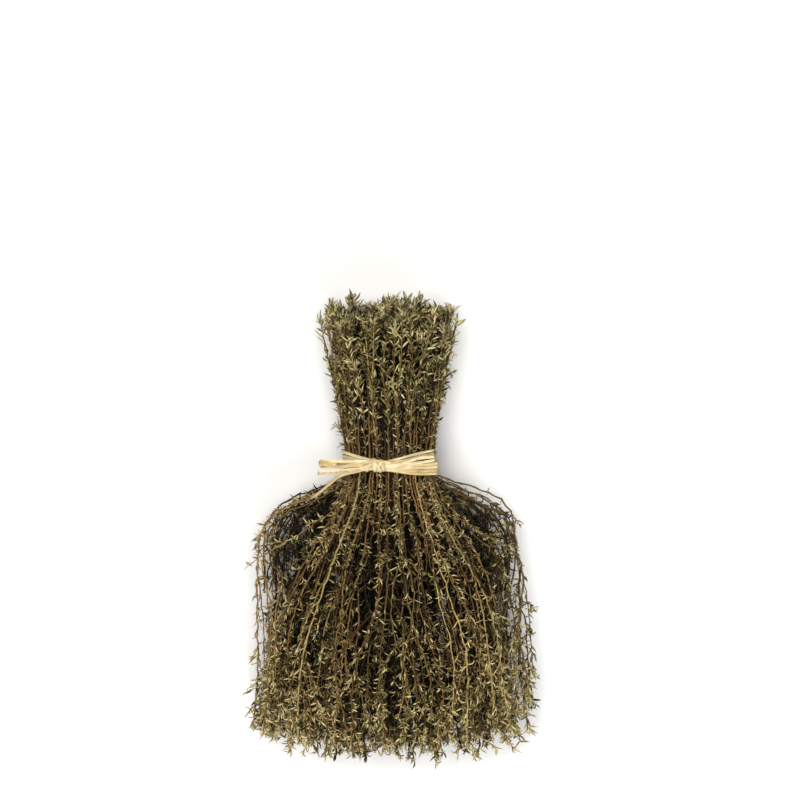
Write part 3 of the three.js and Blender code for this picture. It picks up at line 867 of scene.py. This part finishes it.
RINGS = [
    # radius from, to, number of sprigs, twigs each, detail
    (0.88, 0.94, 56, 2, 2),
    (0.75, 0.85, 52, 2, 1),
    (0.60, 0.72, 44, 1, 1),
    (0.2, 0.55, 40, 1, 0),
]
RING_MIX = {"jitter": 0.3, "golden": 0.618, "skirt": 0.55}  # seats, and how the kinds alternate
BETWEEN = {"foot": 8, "wander": (0.03, 0.09), "haste": (0, 0.75), "hasty_below": 0.25, "shorter": (0, 4)}
BROKEN = {"share": 0.25, "lost": (0, 14)}
TWIGS = {"spread": 2.2, "turn": (0.35, 1.1), "shorter": (2, 16), "drift": (-0.1, 0.03)}


def ring_sprig(number, kind, radius, angle, rng, twigs):
    """A sprig between those of the frame, on a seat of its own."""
    sprig = Sprig(kind, number, radius, angle)
    sprig.foot = mix(*FEET[kind], rng.random()) + BETWEEN["foot"]
    sprig.wander = rng.uniform(*BETWEEN["wander"])
    haste = rng.uniform(*BETWEEN["haste"])
    sprig.haste = haste if radius * math.sin(angle) < BETWEEN["hasty_below"] else 0.0
    sprig.reach -= rng.uniform(*BETWEEN["shorter"])
    if rng.random() < BROKEN["share"]:
        sprig.reach -= rng.uniform(*BROKEN["lost"])
    fork = FORKS[kind]
    for _ in range(twigs):
        begin = fork["start"] + TWIGS["spread"] * fork["spread"] * rng.random()
        turn = rng.uniform(*TWIGS["turn"]) * SECTOR * rng.choice([-1, 1])
        reach = sprig.reach - rng.uniform(*TWIGS["shorter"])
        drift = rng.uniform(*TWIGS["drift"])
        sprig.twigs.append({"start": begin, "turn": turn, "drift": drift, "reach": reach})
    return sprig


def middle_sprig(kind, index):
    """One of a few sprigs in the middle: the first at the centre and the others round it."""
    radius = MIDDLE["seats"][index % 2] if index else 0.0
    angle = 2 * math.pi * index / (MIDDLE["count"] - 1)
    return Sprig(kind, FIRST_NUMBER[kind] + index, radius, angle, MIDDLE["foot"])


def inner_sprigs():
    """The sprigs between and below the outer ones, each with its detail."""
    rng = np.random.default_rng(7)
    found = []
    for low, high, count, twigs, detail in RINGS:
        for index in range(count):
            jitter = rng.uniform(-RING_MIX["jitter"], RING_MIX["jitter"])
            angle = 2 * math.pi * (index + 0.5 + jitter) / count
            kind = "skirt" if (index * RING_MIX["golden"]) % 1 < RING_MIX["skirt"] else "head"
            forks = twigs if kind == "skirt" else twigs - 1
            number = FIRST_NUMBER["between"] + len(found)
            radius = rng.uniform(low, high)
            found.append((ring_sprig(number, kind, radius, angle, rng, forks), detail))
    for kind in ("head", "skirt"):
        found += [(middle_sprig(kind, index), 0) for index in range(MIDDLE["count"])]
    return found


HALF_TURN = (-math.pi / 2, math.pi / 2)
LOOSE = {
    # where broken shoots have caught: number, and ranges of radius, lift angle and station
    "shoulders": (200, (0.5, 0.86), (-0.7, 0.4), (-54, -14)),
    "front": (80, (0.62, 0.86), (0.7, math.pi / 2), (-88, -30)),
    "hem": (110, (0.3, 0.8), (-0.6, math.pi / 2), (-99, -84)),
    "head_end": (70, (0.0, 0.8), HALF_TURN, (48, 58)),
    "hem_end": (140, (0.0, 0.94), HALF_TURN, (-107, -99)),
}
LOOSE_SHOOT = {
    "length": (8, 17), "size": 0.8, "warmth": (0.1, 0.8),
    # tone, less painted shade for depth (shade) and for the lower side (underneath)
    "tone": 0.55, "shade": 0.5, "underneath": 0.15, "end": 0.05,
    "radius": 0.93, "run": 0.32, "deepest": 0.8,
    "ahead": 1.04, "askew": 0.25, "level": (1, 1, 0.4),
}
END_SHOOT = {"length": (7, 12), "tone": (0.6, 0.9)}


def dress_loose_shoots(masters, materials):
    """Short leafy shoots that have broken off and caught between the sprigs, on both sides."""
    for name, (count, radii, lifts, stations) in LOOSE.items():
        growth = Growth()
        gardener = Gardener(masters, growth, count)
        for index in range(count):
            radius = gardener.rng.uniform(*radii)
            lift = gardener.rng.uniform(*lifts)
            angle = lift if index % 2 else math.pi - lift
            station = gardener.rng.uniform(*stations)
            loose_shoot(gardener, radius, angle, station, name.endswith("end"))
        finish_piece(growth.make("loose_shoots_" + name, materials), "dried_thyme", "inner_bunch")


def loose_shoot(gardener, radius, angle, station, at_end):
    """One broken shoot that lies roughly along the sprigs round it."""
    rng = gardener.rng
    own = LOOSE_SHOOT
    spot, ahead = place(radius, angle, station * np.array([1, own["ahead"]]))
    heading = unit(unit(ahead - spot) + rng.normal(0, own["askew"], 3) * own["level"])
    depth = min(own["deepest"], (own["radius"] - radius) / own["run"])
    # Painted shade: deeper shoots, and those on the lower side, get a darker tone.
    tone = own["tone"] - own["shade"] * SHADE["most"] * depth - own["underneath"] * (math.sin(angle) < 0)
    length = rng.uniform(*own["length"])
    if at_end:
        tone = rng.uniform(*END_SHOOT["tone"])
        length = rng.uniform(*END_SHOOT["length"])
    look = {"kind": "skirt", "slant": SLANT["skirt"], "tone": tone, "end": tone + own["end"]}
    look["warmth"] = rng.uniform(*own["warmth"])
    gardener.side_shoot(spot, heading, rng.uniform(0, 2 * math.pi), length, own["size"], look)


# The imported stems' share of the bundle's section, and their tone by station, which is painted shade:
# near black, a little lighter round the tie.
CORE_SHARE = (
    [-90, -80, -45, -12, -3, 25, 40, 46],
    [0.1, 0.3, 0.34, 0.5, 0.74, 0.66, 0.4, 0.1],
)
CORE_PAINTED_SHADE = ([-30, -8, 14, 30], [0.0, 0.2, 0.2, 0.0])
CORE_WARMTH = 0.4


def dress_core(masters, materials):
    """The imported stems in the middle, which flow with the bundle and thin out to both ends."""
    shape = masters["packed"]
    x, y, ring = shape.points.T
    station = mix(CORE_SHARE[0][0], CORE_SHARE[0][-1], ring / ring.max())
    share = np.interp(station, *CORE_SHARE)
    points = place(np.hypot(x, y) * share, np.arctan2(y, x), station)
    growth = Growth()
    growth.add(shape, points[None], 0.0, CORE_WARMTH, STEM_FINISH)
    # Painted shade: the packed stems' tone stays near black.
    growth.tones[-1][:, 0] = np.interp(station, *CORE_PAINTED_SHADE)
    finish_piece(growth.make("packed_stems", materials), "dried_thyme", "inner_bunch")


def dress_sprigs(masters, materials):
    """The outer sprigs, one over each of the frame's."""
    ranks = {"head": 0, "skirt": 0}
    for number in range(OUTER_SPRIGS):
        sprig = outer_sprig(number)
        ranks[sprig.kind] += 1
        name = f"{sprig.kind}_sprig_{ranks[sprig.kind]:02d}"
        growth = Growth()
        grow_sprig(Gardener(masters, growth, number), sprig, 2)
        piece = growth.make("leafy_" + name, materials)
        finish_piece(piece, "dried_thyme", name)


def dress_inside(masters, materials):
    """The sprigs between and below the outer ones, in a few pieces by side."""
    groups = {}
    for sprig, detail in inner_sprigs():
        side = "left" if math.cos(sprig.angle) < 0 else "right"
        level = "top" if math.sin(sprig.angle) > 0 else "bottom"
        key = f"{sprig.kind}_{level}_{side}" if detail else f"{sprig.kind}_middle"
        growth = groups.setdefault(key, Growth())
        kinds = "leaves" if detail == 2 else "plain_leaves"
        grow_sprig(Gardener(masters, growth, sprig.number, kinds), sprig, detail)
    for key, growth in groups.items():
        piece = growth.make("inner_" + key, materials)
        finish_piece(piece, "dried_thyme", "inner_bunch")


def finish_piece(piece, slot, *nodes):
    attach(piece, "root")
    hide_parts(*nodes)


# ---------------------------------------------------------------- the raffia tie


def smooth(points, count):
    """A smooth line through a few points."""
    points = np.asarray(points, float)
    ends = np.vstack([2 * points[0] - points[1], points, 2 * points[-1] - points[-2]])
    found = []
    for t in np.linspace(0, len(points) - 1 - 1e-9, count):
        first = int(t)
        u = t - first
        a, b, c, d = ends[first : first + 4]
        square = (2 * a - 5 * b + 4 * c - d) * u**2
        cube = (3 * b - a - 3 * c + d) * u**3
        found.append(0.5 * (2 * b + (c - a) * u + square + cube))
    return Line(found)


ONLY_FINISH = 0


def ribbon(growth, shape, line, width, tone, reference, twist=0.0, fold=1.0, browned=0.0):
    """One strand of raffia along a line. Fold is how deep its lengthwise folds are."""
    rings = int(round(shape.points[:, 2].max())) + 1
    stops = np.linspace(0, line.length, rings)
    centres = line.at(stops)
    headings = line.headings(stops, 0.6)
    side, normal = frames(headings, reference)
    share = stops / line.length
    turn = twist * share
    side, normal = towards(side, normal, turn), towards(normal, -side, turn)
    wide = 0.5 * width * (1 + 0.12 * np.sin(11 * share + 20 * tone))
    deep = fold * 0.5 * width * (0.8 + 0.2 * np.sin(9 * share + 30 * tone))
    points = bend_along(shape, centres, side, normal, wide, deep)
    growth.add(shape, points[None], tone, browned, ONLY_FINISH)


def bow_line(points, count=40):
    """Points are [x, station, height over the bow]."""
    return smooth([[x, TIE_Y + station, BOW_Z + lift] for x, station, lift in points], count)


PULLED_IN = 0.95  # how far the wraps press the waist in


def wrap_line(rise, proud, wobble):
    """A turn round the waist from under the knot. It climbs towards the head on the left."""
    under_knot = 0.05
    angle = np.linspace(math.pi / 2 + under_knot, 5 * math.pi / 2 - under_knot, 120)
    right = np.cos(angle)
    up = np.sin(angle)
    station = rise * np.maximum(0, -right) ** 1.5 + wobble
    size = section(station, up)
    x = right * (PULLED_IN * size["across"] + proud)
    z = up * (PULLED_IN * np.where(up > 0, size["above"], size["below"]) + proud)
    return Line(np.stack([x, TIE_Y + station, size["axis"] + z], axis=-1))


# Heights of a strand's lengthwise folds from edge to edge, in half-widths.
GROOVED = [-0.3, 0.12, 0.32, 0.1, 0.36, 0.14, -0.3]
CUPPED = [-0.35, 0.12, 0.4, 0.48, 0.4, 0.12, -0.35]


def strand_masters():
    """Strips of raffia: a long one, and two short ones with different folds."""
    return {
        "long": strip(rings=46, folds=GROOVED),
        "grooved": strip(rings=24, folds=GROOVED),
        "cupped": strip(rings=24, folds=CUPPED),
    }


WRAPS = [
    # climb on the left, distance over the waist, station, width
    (4.4, 1.6, 0.5, 1.4),
    (3.2, 1.4, -0.1, 1.3),
    (1.6, 1.5, -0.7, 1.3),
    (0.4, 1.7, -1.4, 1.3),
    (2.4, 1.2, 0.2, 1.5),
]
RIGHT_ENDS = [
    # points, width
    ([[-3, 0.5, 1.3], [-0.5, 1.0, 1.2], [7.1, 3.1, 0.4], [17.4, 5.4, -3.4]], 1.15),
    ([[-3, 0.3, 1.0], [0, 0.5, 1.5], [8.3, 2.0, 0.9], [17.6, 4.2, -3.0]], 1.25),
    ([[-3, -0.9, 1.0], [1.2, -0.9, 1.9], [10.6, 2.2, 1.2], [17.7, 2.9, -2.3]], 1.25),
    ([[-3, -0.1, 1.6], [0, -0.1, 1.9], [9, 0.3, 1.3], [17.8, 1.5, -2.5]], 1.3),
    ([[-3, -0.6, 1.2], [0, -0.6, 1.7], [9, -0.5, 1.1], [19.1, 0.3, -2.6]], 1.25),
    ([[-3, -1.2, 0.9], [1, -1.4, 1.2], [9.5, -1.5, 0.9], [19.0, -1.1, -3.0]], 1.3),
    ([[-3, -1.5, 0.6], [1, -2.0, 0.9], [9, -2.7, 0.5], [18.8, -2.4, -3.7]], 1.3),
    ([[-3, -1.9, 0.3], [1, -2.4, 0.6], [8.5, -3.6, 0.0], [18.8, -3.8, -4.4]], 1.25),
]
LEFT_STRANDS = [
    ([[-3, 1.0, 1.6], [-9, 1.0, 1.9], [-16, 1.1, 1.5], [-24, 1.35, 0.0], [-27.3, 1.0, -2.0]], 1.35),
    ([[-3, -0.2, 1.5], [-9, -0.2, 1.8], [-14, -0.35, 1.5], [-19, -0.95, 0.9], [-24, -0.95, -0.2],
      [-27.2, -0.8, -2.2]], 1.25),
    ([[-27.7, 0.2, -2.4], [-26, 0.15, -0.7], [-23, 0.1, 0.0], [-20.7, 0.05, 0.4]], 2.3),
    ([[-27.6, 0.4, -2.6], [-27, 0.3, -4.2], [-22, 0.2, -3.6], [-13, 0.5, -0.8], [-3, 0.5, 0.3]], 2.0),
    ([[-3, -1.2, 0.8], [-9, -1.4, 1.1], [-16, -2.0, 0.3], [-22, -2.6, -1.8], [-28.5, -3.1, -4.6]], 1.05),
    ([[-3, -1.7, 0.5], [-9, -1.9, 0.8], [-16, -2.6, -0.1], [-22, -3.4, -2.2], [-28.5, -4.0, -5.0]], 1.15),
]
TAIL = [
    [-3, -1.0, 1.9], [-9, -1.8, 2.0], [-12.6, -2.6, 1.2], [-18.3, -4.2, -0.6],
    [-23.3, -7.6, -2.8], [-26.9, -10.7, -5.0], [-30.1, -13.0, -6.8], [-32.0, -13.9, -7.8],
]
TAIL_WIDTH = 1.4
TAIL_TONE = 0.5
KNOT_TURNS = [
    # x, lean, half its length, height, width, tone, from left to right
    (-7.7, 0.5, 2.2, 1.9, 1.7, 0.45),
    (-6.4, -0.2, 2.3, 2.2, 1.5, 0.8),
    (-5.1, -0.5, 2.4, 2.45, 1.8, 0.65),
    (-4.0, 0.25, 2.3, 2.2, 1.2, 0.9),
    (-2.8, -0.15, 2.0, 1.9, 1.5, 0.5),
]
KNOT_STRANDS = [
    ([[-10, 0.4, 1.6], [-6.5, 1.2, 2.6], [-3.5, 1.3, 2.6], [0.5, 0.6, 1.6]], 1.2),
    ([[-12, -1.4, 1.2], [-9.5, -0.8, 2.3], [-7, 0.2, 2.8], [-5, 1.0, 2.3]], 1.4),
]


def strands(material, name, lines, shape, reference, fold=1.3, browned=0.0, twist=0.0):
    """A piece of raffia strands. Each line comes with its width and tone."""
    growth = Growth()
    for line, width, tone in lines:
        ribbon(growth, shape, line, width, tone, reference, twist=twist, fold=fold, browned=browned)
    finish_piece(growth.make(name, [material]), "raffia", "raffia_tie")


def toned(lines, item):
    """Bow lines with their widths and a drawn tone each."""
    return [(bow_line(points), width, draw(i, item)) for i, (points, width) in enumerate(lines)]


KNOT = {"station": -0.5, "lift": 0.6, "start": -0.3}


def knot_turn(x, lean, half, high):
    """A turn of the knot round the strands under it."""
    turn = KNOT["start"] + np.linspace(0, 2 * math.pi, 60)
    station = KNOT["station"] + half * np.cos(turn)
    z = BOW_Z + KNOT["lift"] + high * np.sin(turn)
    return Line(np.stack([x + lean * station, TIE_Y + station, z], axis=-1))


def dress_raffia(material):
    masters = strand_masters()
    lengthwise = np.array([0, 1.0, 0])
    crosswise = np.array([1.0, 0, 0])
    wraps = [(wrap_line(*wrap[:3]), wrap[3], draw(i, 20)) for i, wrap in enumerate(WRAPS)]
    strands(material, "raffia_wraps", wraps, masters["long"], lengthwise, fold=1.0)
    strands(material, "raffia_right_ends", toned(RIGHT_ENDS, 21), masters["grooved"], lengthwise)
    strands(material, "raffia_left_loop", toned(LEFT_STRANDS, 22), masters["grooved"], lengthwise)
    tail = [(bow_line(TAIL, 60), TAIL_WIDTH, TAIL_TONE)]
    strands(material, "raffia_tail", tail, masters["long"], lengthwise, fold=1.6, browned=1.0, twist=0.8)
    turns = [(knot_turn(*turn[:4]), turn[4], turn[5]) for turn in KNOT_TURNS]
    strands(material, "raffia_knot", turns, masters["cupped"], crosswise)
    strands(material, "raffia_knot_strands", toned(KNOT_STRANDS, 23), masters["cupped"], lengthwise)


# ---------------------------------------------------------------- finishes


def paint(*screen):
    """A screen colour in bytes as the shader's linear colour."""
    shares = [channel / 255 for channel in screen]
    linear = [c / 12.92 if c < 0.04045 else ((c + 0.055) / 1.055) ** 2.4 for c in shares]
    return (*linear, 1.0)


class Nodes:
    """A node tree that is filled in step by step."""

    def __init__(self, tree):
        self.tree = tree

    def feed(self, socket, value):
        """Links another socket to this one, or sets its value."""
        if isinstance(value, bpy.types.NodeSocket):
            self.tree.links.new(value, socket)
        else:
            socket.default_value = value

    def add(self, kind, inputs=None, **settings):
        node = self.tree.nodes.new(kind)
        for name, value in settings.items():
            setattr(node, name, value)
        for name, value in (inputs or {}).items():
            self.feed(node.inputs[name], value)
        return node

    def math(self, operation, a, b=0.5, clamp=False):
        node = self.add("ShaderNodeMath", {0: a, 1: b}, operation=operation, use_clamp=clamp)
        return node.outputs[0]

    def past(self, value, start, gain, clamp=False):
        """How far a value is past a start, times a gain."""
        return self.math("MULTIPLY", self.math("SUBTRACT", value, start), gain, clamp)

    def near(self, value, gain):
        """One where a value is nought, falling to nought as it grows."""
        return self.math("SUBTRACT", 1.0, self.math("MULTIPLY", value, gain), True)

    def average(self, a, b):
        return self.math("MULTIPLY", self.math("ADD", a, b), 0.5)

    def blend(self, share, a, b):
        """Colour a, with a share of colour b over it."""
        node = self.add("ShaderNodeMix", {"Factor": share, 6: a, 7: b}, data_type="RGBA")
        return node.outputs[2]

    def cover(self, mask, most, a, b):
        """Colour a, with up to most of colour b where the mask is one."""
        return self.blend(self.math("MULTIPLY", mask, most), a, b)

    def ramp(self, factor, colours):
        node = self.add("ShaderNodeValToRGB", {"Fac": factor})
        elements = node.color_ramp.elements
        while len(elements) < len(colours):
            elements.new(0.5)
        for element, (position, colour) in zip(elements, colours.items()):
            element.position = position
            element.color = paint(*colour)
        return node.outputs["Color"]

    def noise(self, vector, scale, detail):
        node = self.add("ShaderNodeTexNoise", {"Vector": vector, "Scale": scale, "Detail": detail})
        return node.outputs["Fac"]

    def attribute(self, name, output="Fac"):
        return self.add("ShaderNodeAttribute", attribute_name=name).outputs[output]

    def group(self, tree, inputs):
        return self.add("ShaderNodeGroup", inputs, node_tree=tree).outputs

    def spread(self, factor, low, high):
        """A value from low to high as the factor goes from 0 to 1."""
        node = self.add("ShaderNodeMapRange", {"Value": factor, "To Min": low, "To Max": high})
        return node.outputs["Result"]

    def bump(self, height, distance, strength=0.6):
        inputs = {"Height": height, "Distance": distance, "Strength": strength}
        return self.add("ShaderNodeBump", inputs).outputs["Normal"]

    def finish(self, colour, roughness, normal):
        """Joins a material's colour, roughness and normal to its shader."""
        shader = self.tree.nodes["Principled BSDF"]
        for name, value in (("Base Color", colour), ("Roughness", roughness), ("Normal", normal)):
            self.feed(shader.inputs[name], value)


def new_group(name, inputs, outputs):
    """A node group whose inputs are given as label: (kind, value) and whose outputs are numbers."""
    group = bpy.data.node_groups.new(name, "ShaderNodeTree")
    for label, (kind, value) in inputs.items():
        socket = group.interface.new_socket(label, in_out="INPUT", socket_type=kind)
        if value is not None:
            socket.default_value = value
    for label in outputs:
        group.interface.new_socket(label, in_out="OUTPUT", socket_type="NodeSocketFloat")
    nodes = Nodes(group)
    return group, nodes, nodes.add("NodeGroupInput").outputs, nodes.add("NodeGroupOutput").inputs


def mottle_group():
    """Blotches of two sizes, for anything dried and brittle."""
    inputs = {"Vector": ("NodeSocketVector", None), "Size": ("NodeSocketFloat", 900.0)}
    group, nodes, given, result = new_group("dry_mottle", inputs, ["Blotch", "Height"])
    coarse = nodes.noise(given["Vector"], given["Size"], 3.0)
    fine = nodes.noise(given["Vector"], nodes.math("MULTIPLY", given["Size"], 3.1), 2.0)
    nodes.feed(result["Blotch"], nodes.average(coarse, fine))
    nodes.feed(result["Height"], fine)
    return group


def fibre_group():
    """Long thin fibres: noise on a vector that is stretched by its own amount on each axis."""
    inputs = {"Vector": ("NodeSocketVector", None), "Stretch": ("NodeSocketVector", (1.0, 1.0, 1.0))}
    group, nodes, given, result = new_group("long_fibres", inputs, ["Fibre", "Height"])
    stretch = {0: given["Vector"], 1: given["Stretch"]}
    vector = nodes.add("ShaderNodeVectorMath", stretch, operation="MULTIPLY").outputs[0]
    both = nodes.average(nodes.noise(vector, 1.0, 4.0), nodes.noise(vector, 3.3, 2.0))
    nodes.feed(result["Fibre"], both)
    nodes.feed(result["Height"], both)
    return group


def new_material(name, **constants):
    material = bpy.data.materials.new(name)
    material.use_nodes = True
    nodes = Nodes(material.node_tree)
    shader = material.node_tree.nodes["Principled BSDF"]
    for label, value in constants.items():
        shader.inputs[label.replace("_", " ")].default_value = value
    return material, nodes


def dried_material(name, **constants):
    """A material with what all the dried ones read: place, tone and warmth."""
    material, nodes = new_material(name, **constants)
    where = nodes.add("ShaderNodeTexCoord").outputs["Object"]
    return material, nodes, where, nodes.attribute("tone"), nodes.attribute("warmth")


# Screen colours by lightness.
GOLDEN_STEM = {0.0: (12, 8, 4), 0.35: (66, 49, 25), 0.7: (122, 97, 54), 1.0: (200, 172, 112)}
REDDISH_STEM = {0.0: (10, 6, 3), 0.35: (56, 37, 19), 0.7: (112, 80, 45), 1.0: (188, 148, 96)}
GREEN_LEAF = {0.0: (7, 7, 3), 0.35: (52, 50, 26), 0.65: (122, 118, 70), 1.0: (210, 202, 148)}
BROWN_LEAF = {0.0: (8, 6, 3), 0.35: (56, 43, 24), 0.65: (130, 110, 66), 1.0: (214, 192, 138)}
PINKISH_CUP = {0.0: (92, 66, 50), 0.5: (150, 116, 92), 1.0: (202, 172, 146)}
CREAM_CUP = {0.0: (118, 102, 58), 0.5: (178, 162, 108), 1.0: (226, 214, 170)}
STRAW = {0.35: (116, 82, 34), 0.52: (172, 140, 80), 0.7: (214, 190, 134), 0.95: (242, 230, 194)}
MIDRIB = paint(140, 130, 82)
LEAF_TIP = paint(112, 84, 46)
# painted shade for the leaves deepest in the bundle
PAINTED_DEEP_SHADE = paint(6, 6, 3)
# painted shade in the raffia's grooves
GROOVE = paint(104, 72, 32)
BROWNED = paint(128, 72, 38)


def stem_material(mottle, fibres):
    material, nodes, where, tone, warmth = dried_material("thyme_stem", Specular_IOR_Level=0.15)
    grain = nodes.group(fibres, {"Vector": where, "Stretch": (2600.0, 300.0, 2600.0)})
    blotch = nodes.group(mottle, {"Vector": where, "Size": 240.0})
    light = nodes.math("ADD", tone, nodes.past(grain["Fibre"], 0.5, 1.1))
    ruddy = nodes.math("ADD", warmth, nodes.math("SUBTRACT", blotch["Blotch"], 0.5))
    share = nodes.math("SMOOTH_MIN", nodes.past(ruddy, 0.45, 3.0, True), 1.0)
    colour = nodes.blend(share, nodes.ramp(light, GOLDEN_STEM), nodes.ramp(light, REDDISH_STEM))
    roughness = nodes.spread(grain["Fibre"], 0.75, 0.5)
    nodes.finish(colour, roughness, nodes.bump(grain["Height"], 0.00012))
    return material


def leaf_material(mottle):
    material, nodes, where, tone, warmth = dried_material("thyme_leaf", Specular_IOR_Level=0.12)
    chart = nodes.add("ShaderNodeSeparateXYZ", {0: nodes.attribute("chart", "Vector")})
    across, along, _ = chart.outputs
    blotch = nodes.group(mottle, {"Vector": where, "Size": 800.0})
    light = nodes.math("ADD", tone, nodes.past(blotch["Blotch"], 0.5, 1.2))
    share = nodes.past(warmth, 0.2, 1.6, True)
    face = nodes.blend(share, nodes.ramp(light, GREEN_LEAF), nodes.ramp(light, BROWN_LEAF))
    # The midrib is paler, and the tip is browner.
    face = nodes.cover(nodes.near(nodes.math("ABSOLUTE", across), 3.2), 0.35, face, MIDRIB)
    face = nodes.cover(nodes.math("POWER", along, 3.0), 0.3, face, LEAF_TIP)
    # Painted shade: the leaves of the lowest tone, deepest in the bundle, go nearly black.
    face = nodes.cover(nodes.near(tone, 3.0), 0.8, face, PAINTED_DEEP_SHADE)
    roughness = nodes.spread(blotch["Blotch"], 0.72, 0.42)
    nodes.finish(face, roughness, nodes.bump(blotch["Height"], 0.00015))
    return material


def cup_material(mottle):
    material, nodes, where, tone, warmth = dried_material("thyme_calyx")
    blotch = nodes.group(mottle, {"Vector": where, "Size": 1200.0})
    light = nodes.math("ADD", tone, nodes.math("SUBTRACT", blotch["Blotch"], 0.5))
    colour = nodes.blend(warmth, nodes.ramp(light, PINKISH_CUP), nodes.ramp(light, CREAM_CUP))
    roughness = nodes.spread(blotch["Blotch"], 0.8, 0.5)
    nodes.finish(colour, roughness, nodes.bump(blotch["Height"], 0.0001))
    return material


def raffia_material(fibres, mottle):
    material, nodes, where, tone, browned = dried_material("raffia", Specular_IOR_Level=0.35)
    chart = nodes.attribute("chart", "Vector")
    along = nodes.add("ShaderNodeSeparateXYZ", {0: chart}).outputs[1]
    shifted = nodes.add("ShaderNodeVectorMath", {0: chart, 1: tone}, operation="ADD").outputs[0]
    grain = nodes.group(fibres, {"Vector": shifted, "Stretch": (4.0, 2.0, 1.0)})
    blotch = nodes.group(mottle, {"Vector": where, "Size": 160.0})
    light = nodes.math("MULTIPLY", grain["Fibre"], 1.3)
    light = nodes.math("ADD", nodes.math("MULTIPLY", tone, 0.25), light)
    light = nodes.math("ADD", light, nodes.past(blotch["Blotch"], 0.5, 0.4))
    colour = nodes.ramp(light, STRAW)
    # Painted shade: thin dark lines along the fibres stand for the shaded grooves between them.
    off_line = nodes.math("ABSOLUTE", nodes.math("SUBTRACT", grain["Height"], 0.47))
    colour = nodes.cover(nodes.near(off_line, 32.0), 0.75, colour, GROOVE)
    end = nodes.math("MULTIPLY", browned, nodes.past(along, 0.92, 12.0, True))
    colour = nodes.blend(end, colour, BROWNED)
    roughness = nodes.spread(grain["Fibre"], 0.7, 0.42)
    nodes.finish(colour, roughness, nodes.bump(grain["Height"], 0.0004, 0.8))
    return material


# ---------------------------------------------------------------- the studio

VIEW_CENTRE = (4.0, 50.7)
VIEW_WIDTH = 320.0  # at the height of the skirt's axis
CAMERA_HEIGHT = 900.0
SENSOR = 36.0
# In metres and watts. Both lamps are aimed at the origin.
LAMPS = {
    "key": {"at": (-0.13, 0.16, 1.14), "size": 0.85, "power": 17.5, "colour": (1, 0.98, 0.95)},
    "fill": {"at": (0.3, -0.8, 0.75), "size": 0.9, "power": 8.5, "colour": (1, 1, 1)},
}
WORLD_LIGHT = 0.06
FLOOR_SIZE = 8.0
FLOOR_COLOUR = (0.8, 0.8, 0.795, 1)


def add_lamp(name, at, size, power, colour):
    light = bpy.data.lights.new(name, "AREA")
    light.shape = "DISK"
    light.size = size
    light.energy = power
    light.color = colour
    obj = bpy.data.objects.new(name, light)
    bpy.context.scene.collection.objects.link(obj)
    obj.location = at
    obj.rotation_mode = "QUATERNION"
    obj.rotation_quaternion = Vector([-where for where in at]).to_track_quat("-Z", "Y")


def set_floor():
    bpy.ops.object.select_all(action="DESELECT")
    bpy.ops.mesh.primitive_plane_add(size=FLOOR_SIZE, location=(0, 0, 0))
    floor = bpy.context.object
    floor.name = "floor"
    material, _ = new_material("floor_card", Roughness=0.85, Base_Color=FLOOR_COLOUR)
    floor.data.materials.append(material)


def set_lights():
    world = bpy.data.worlds.new("studio")
    world.use_nodes = True
    background = world.node_tree.nodes["Background"]
    background.inputs["Color"].default_value = (1, 1, 1, 1)
    background.inputs["Strength"].default_value = WORLD_LIGHT
    bpy.context.scene.world = world
    for name, lamp in LAMPS.items():
        add_lamp(name, **lamp)


def set_camera():
    scene = bpy.context.scene
    camera = bpy.data.objects.new("camera", bpy.data.cameras.new("camera"))
    scene.collection.objects.link(camera)
    camera.data.sensor_width = SENSOR
    camera.data.lens = SENSOR * (CAMERA_HEIGHT - SKIRT["axis"]) / VIEW_WIDTH
    camera.location = (VIEW_CENTRE[0] * MM, VIEW_CENTRE[1] * MM, CAMERA_HEIGHT * MM)
    scene.camera = camera
    scene.view_settings.view_transform = "Standard"


# ---------------------------------------------------------------- the bundle


def main():
    mottle = mottle_group()
    fibres = fibre_group()
    thyme = [stem_material(mottle, fibres), leaf_material(mottle), cup_material(mottle)]
    masters = make_masters()
    dress_sprigs(masters, thyme)
    dress_inside(masters, thyme)
    dress_core(masters, thyme)
    dress_loose_shoots(masters, thyme)
    dress_raffia(raffia_material(fibres, mottle))
    set_floor()
    set_lights()
    set_camera()


main()
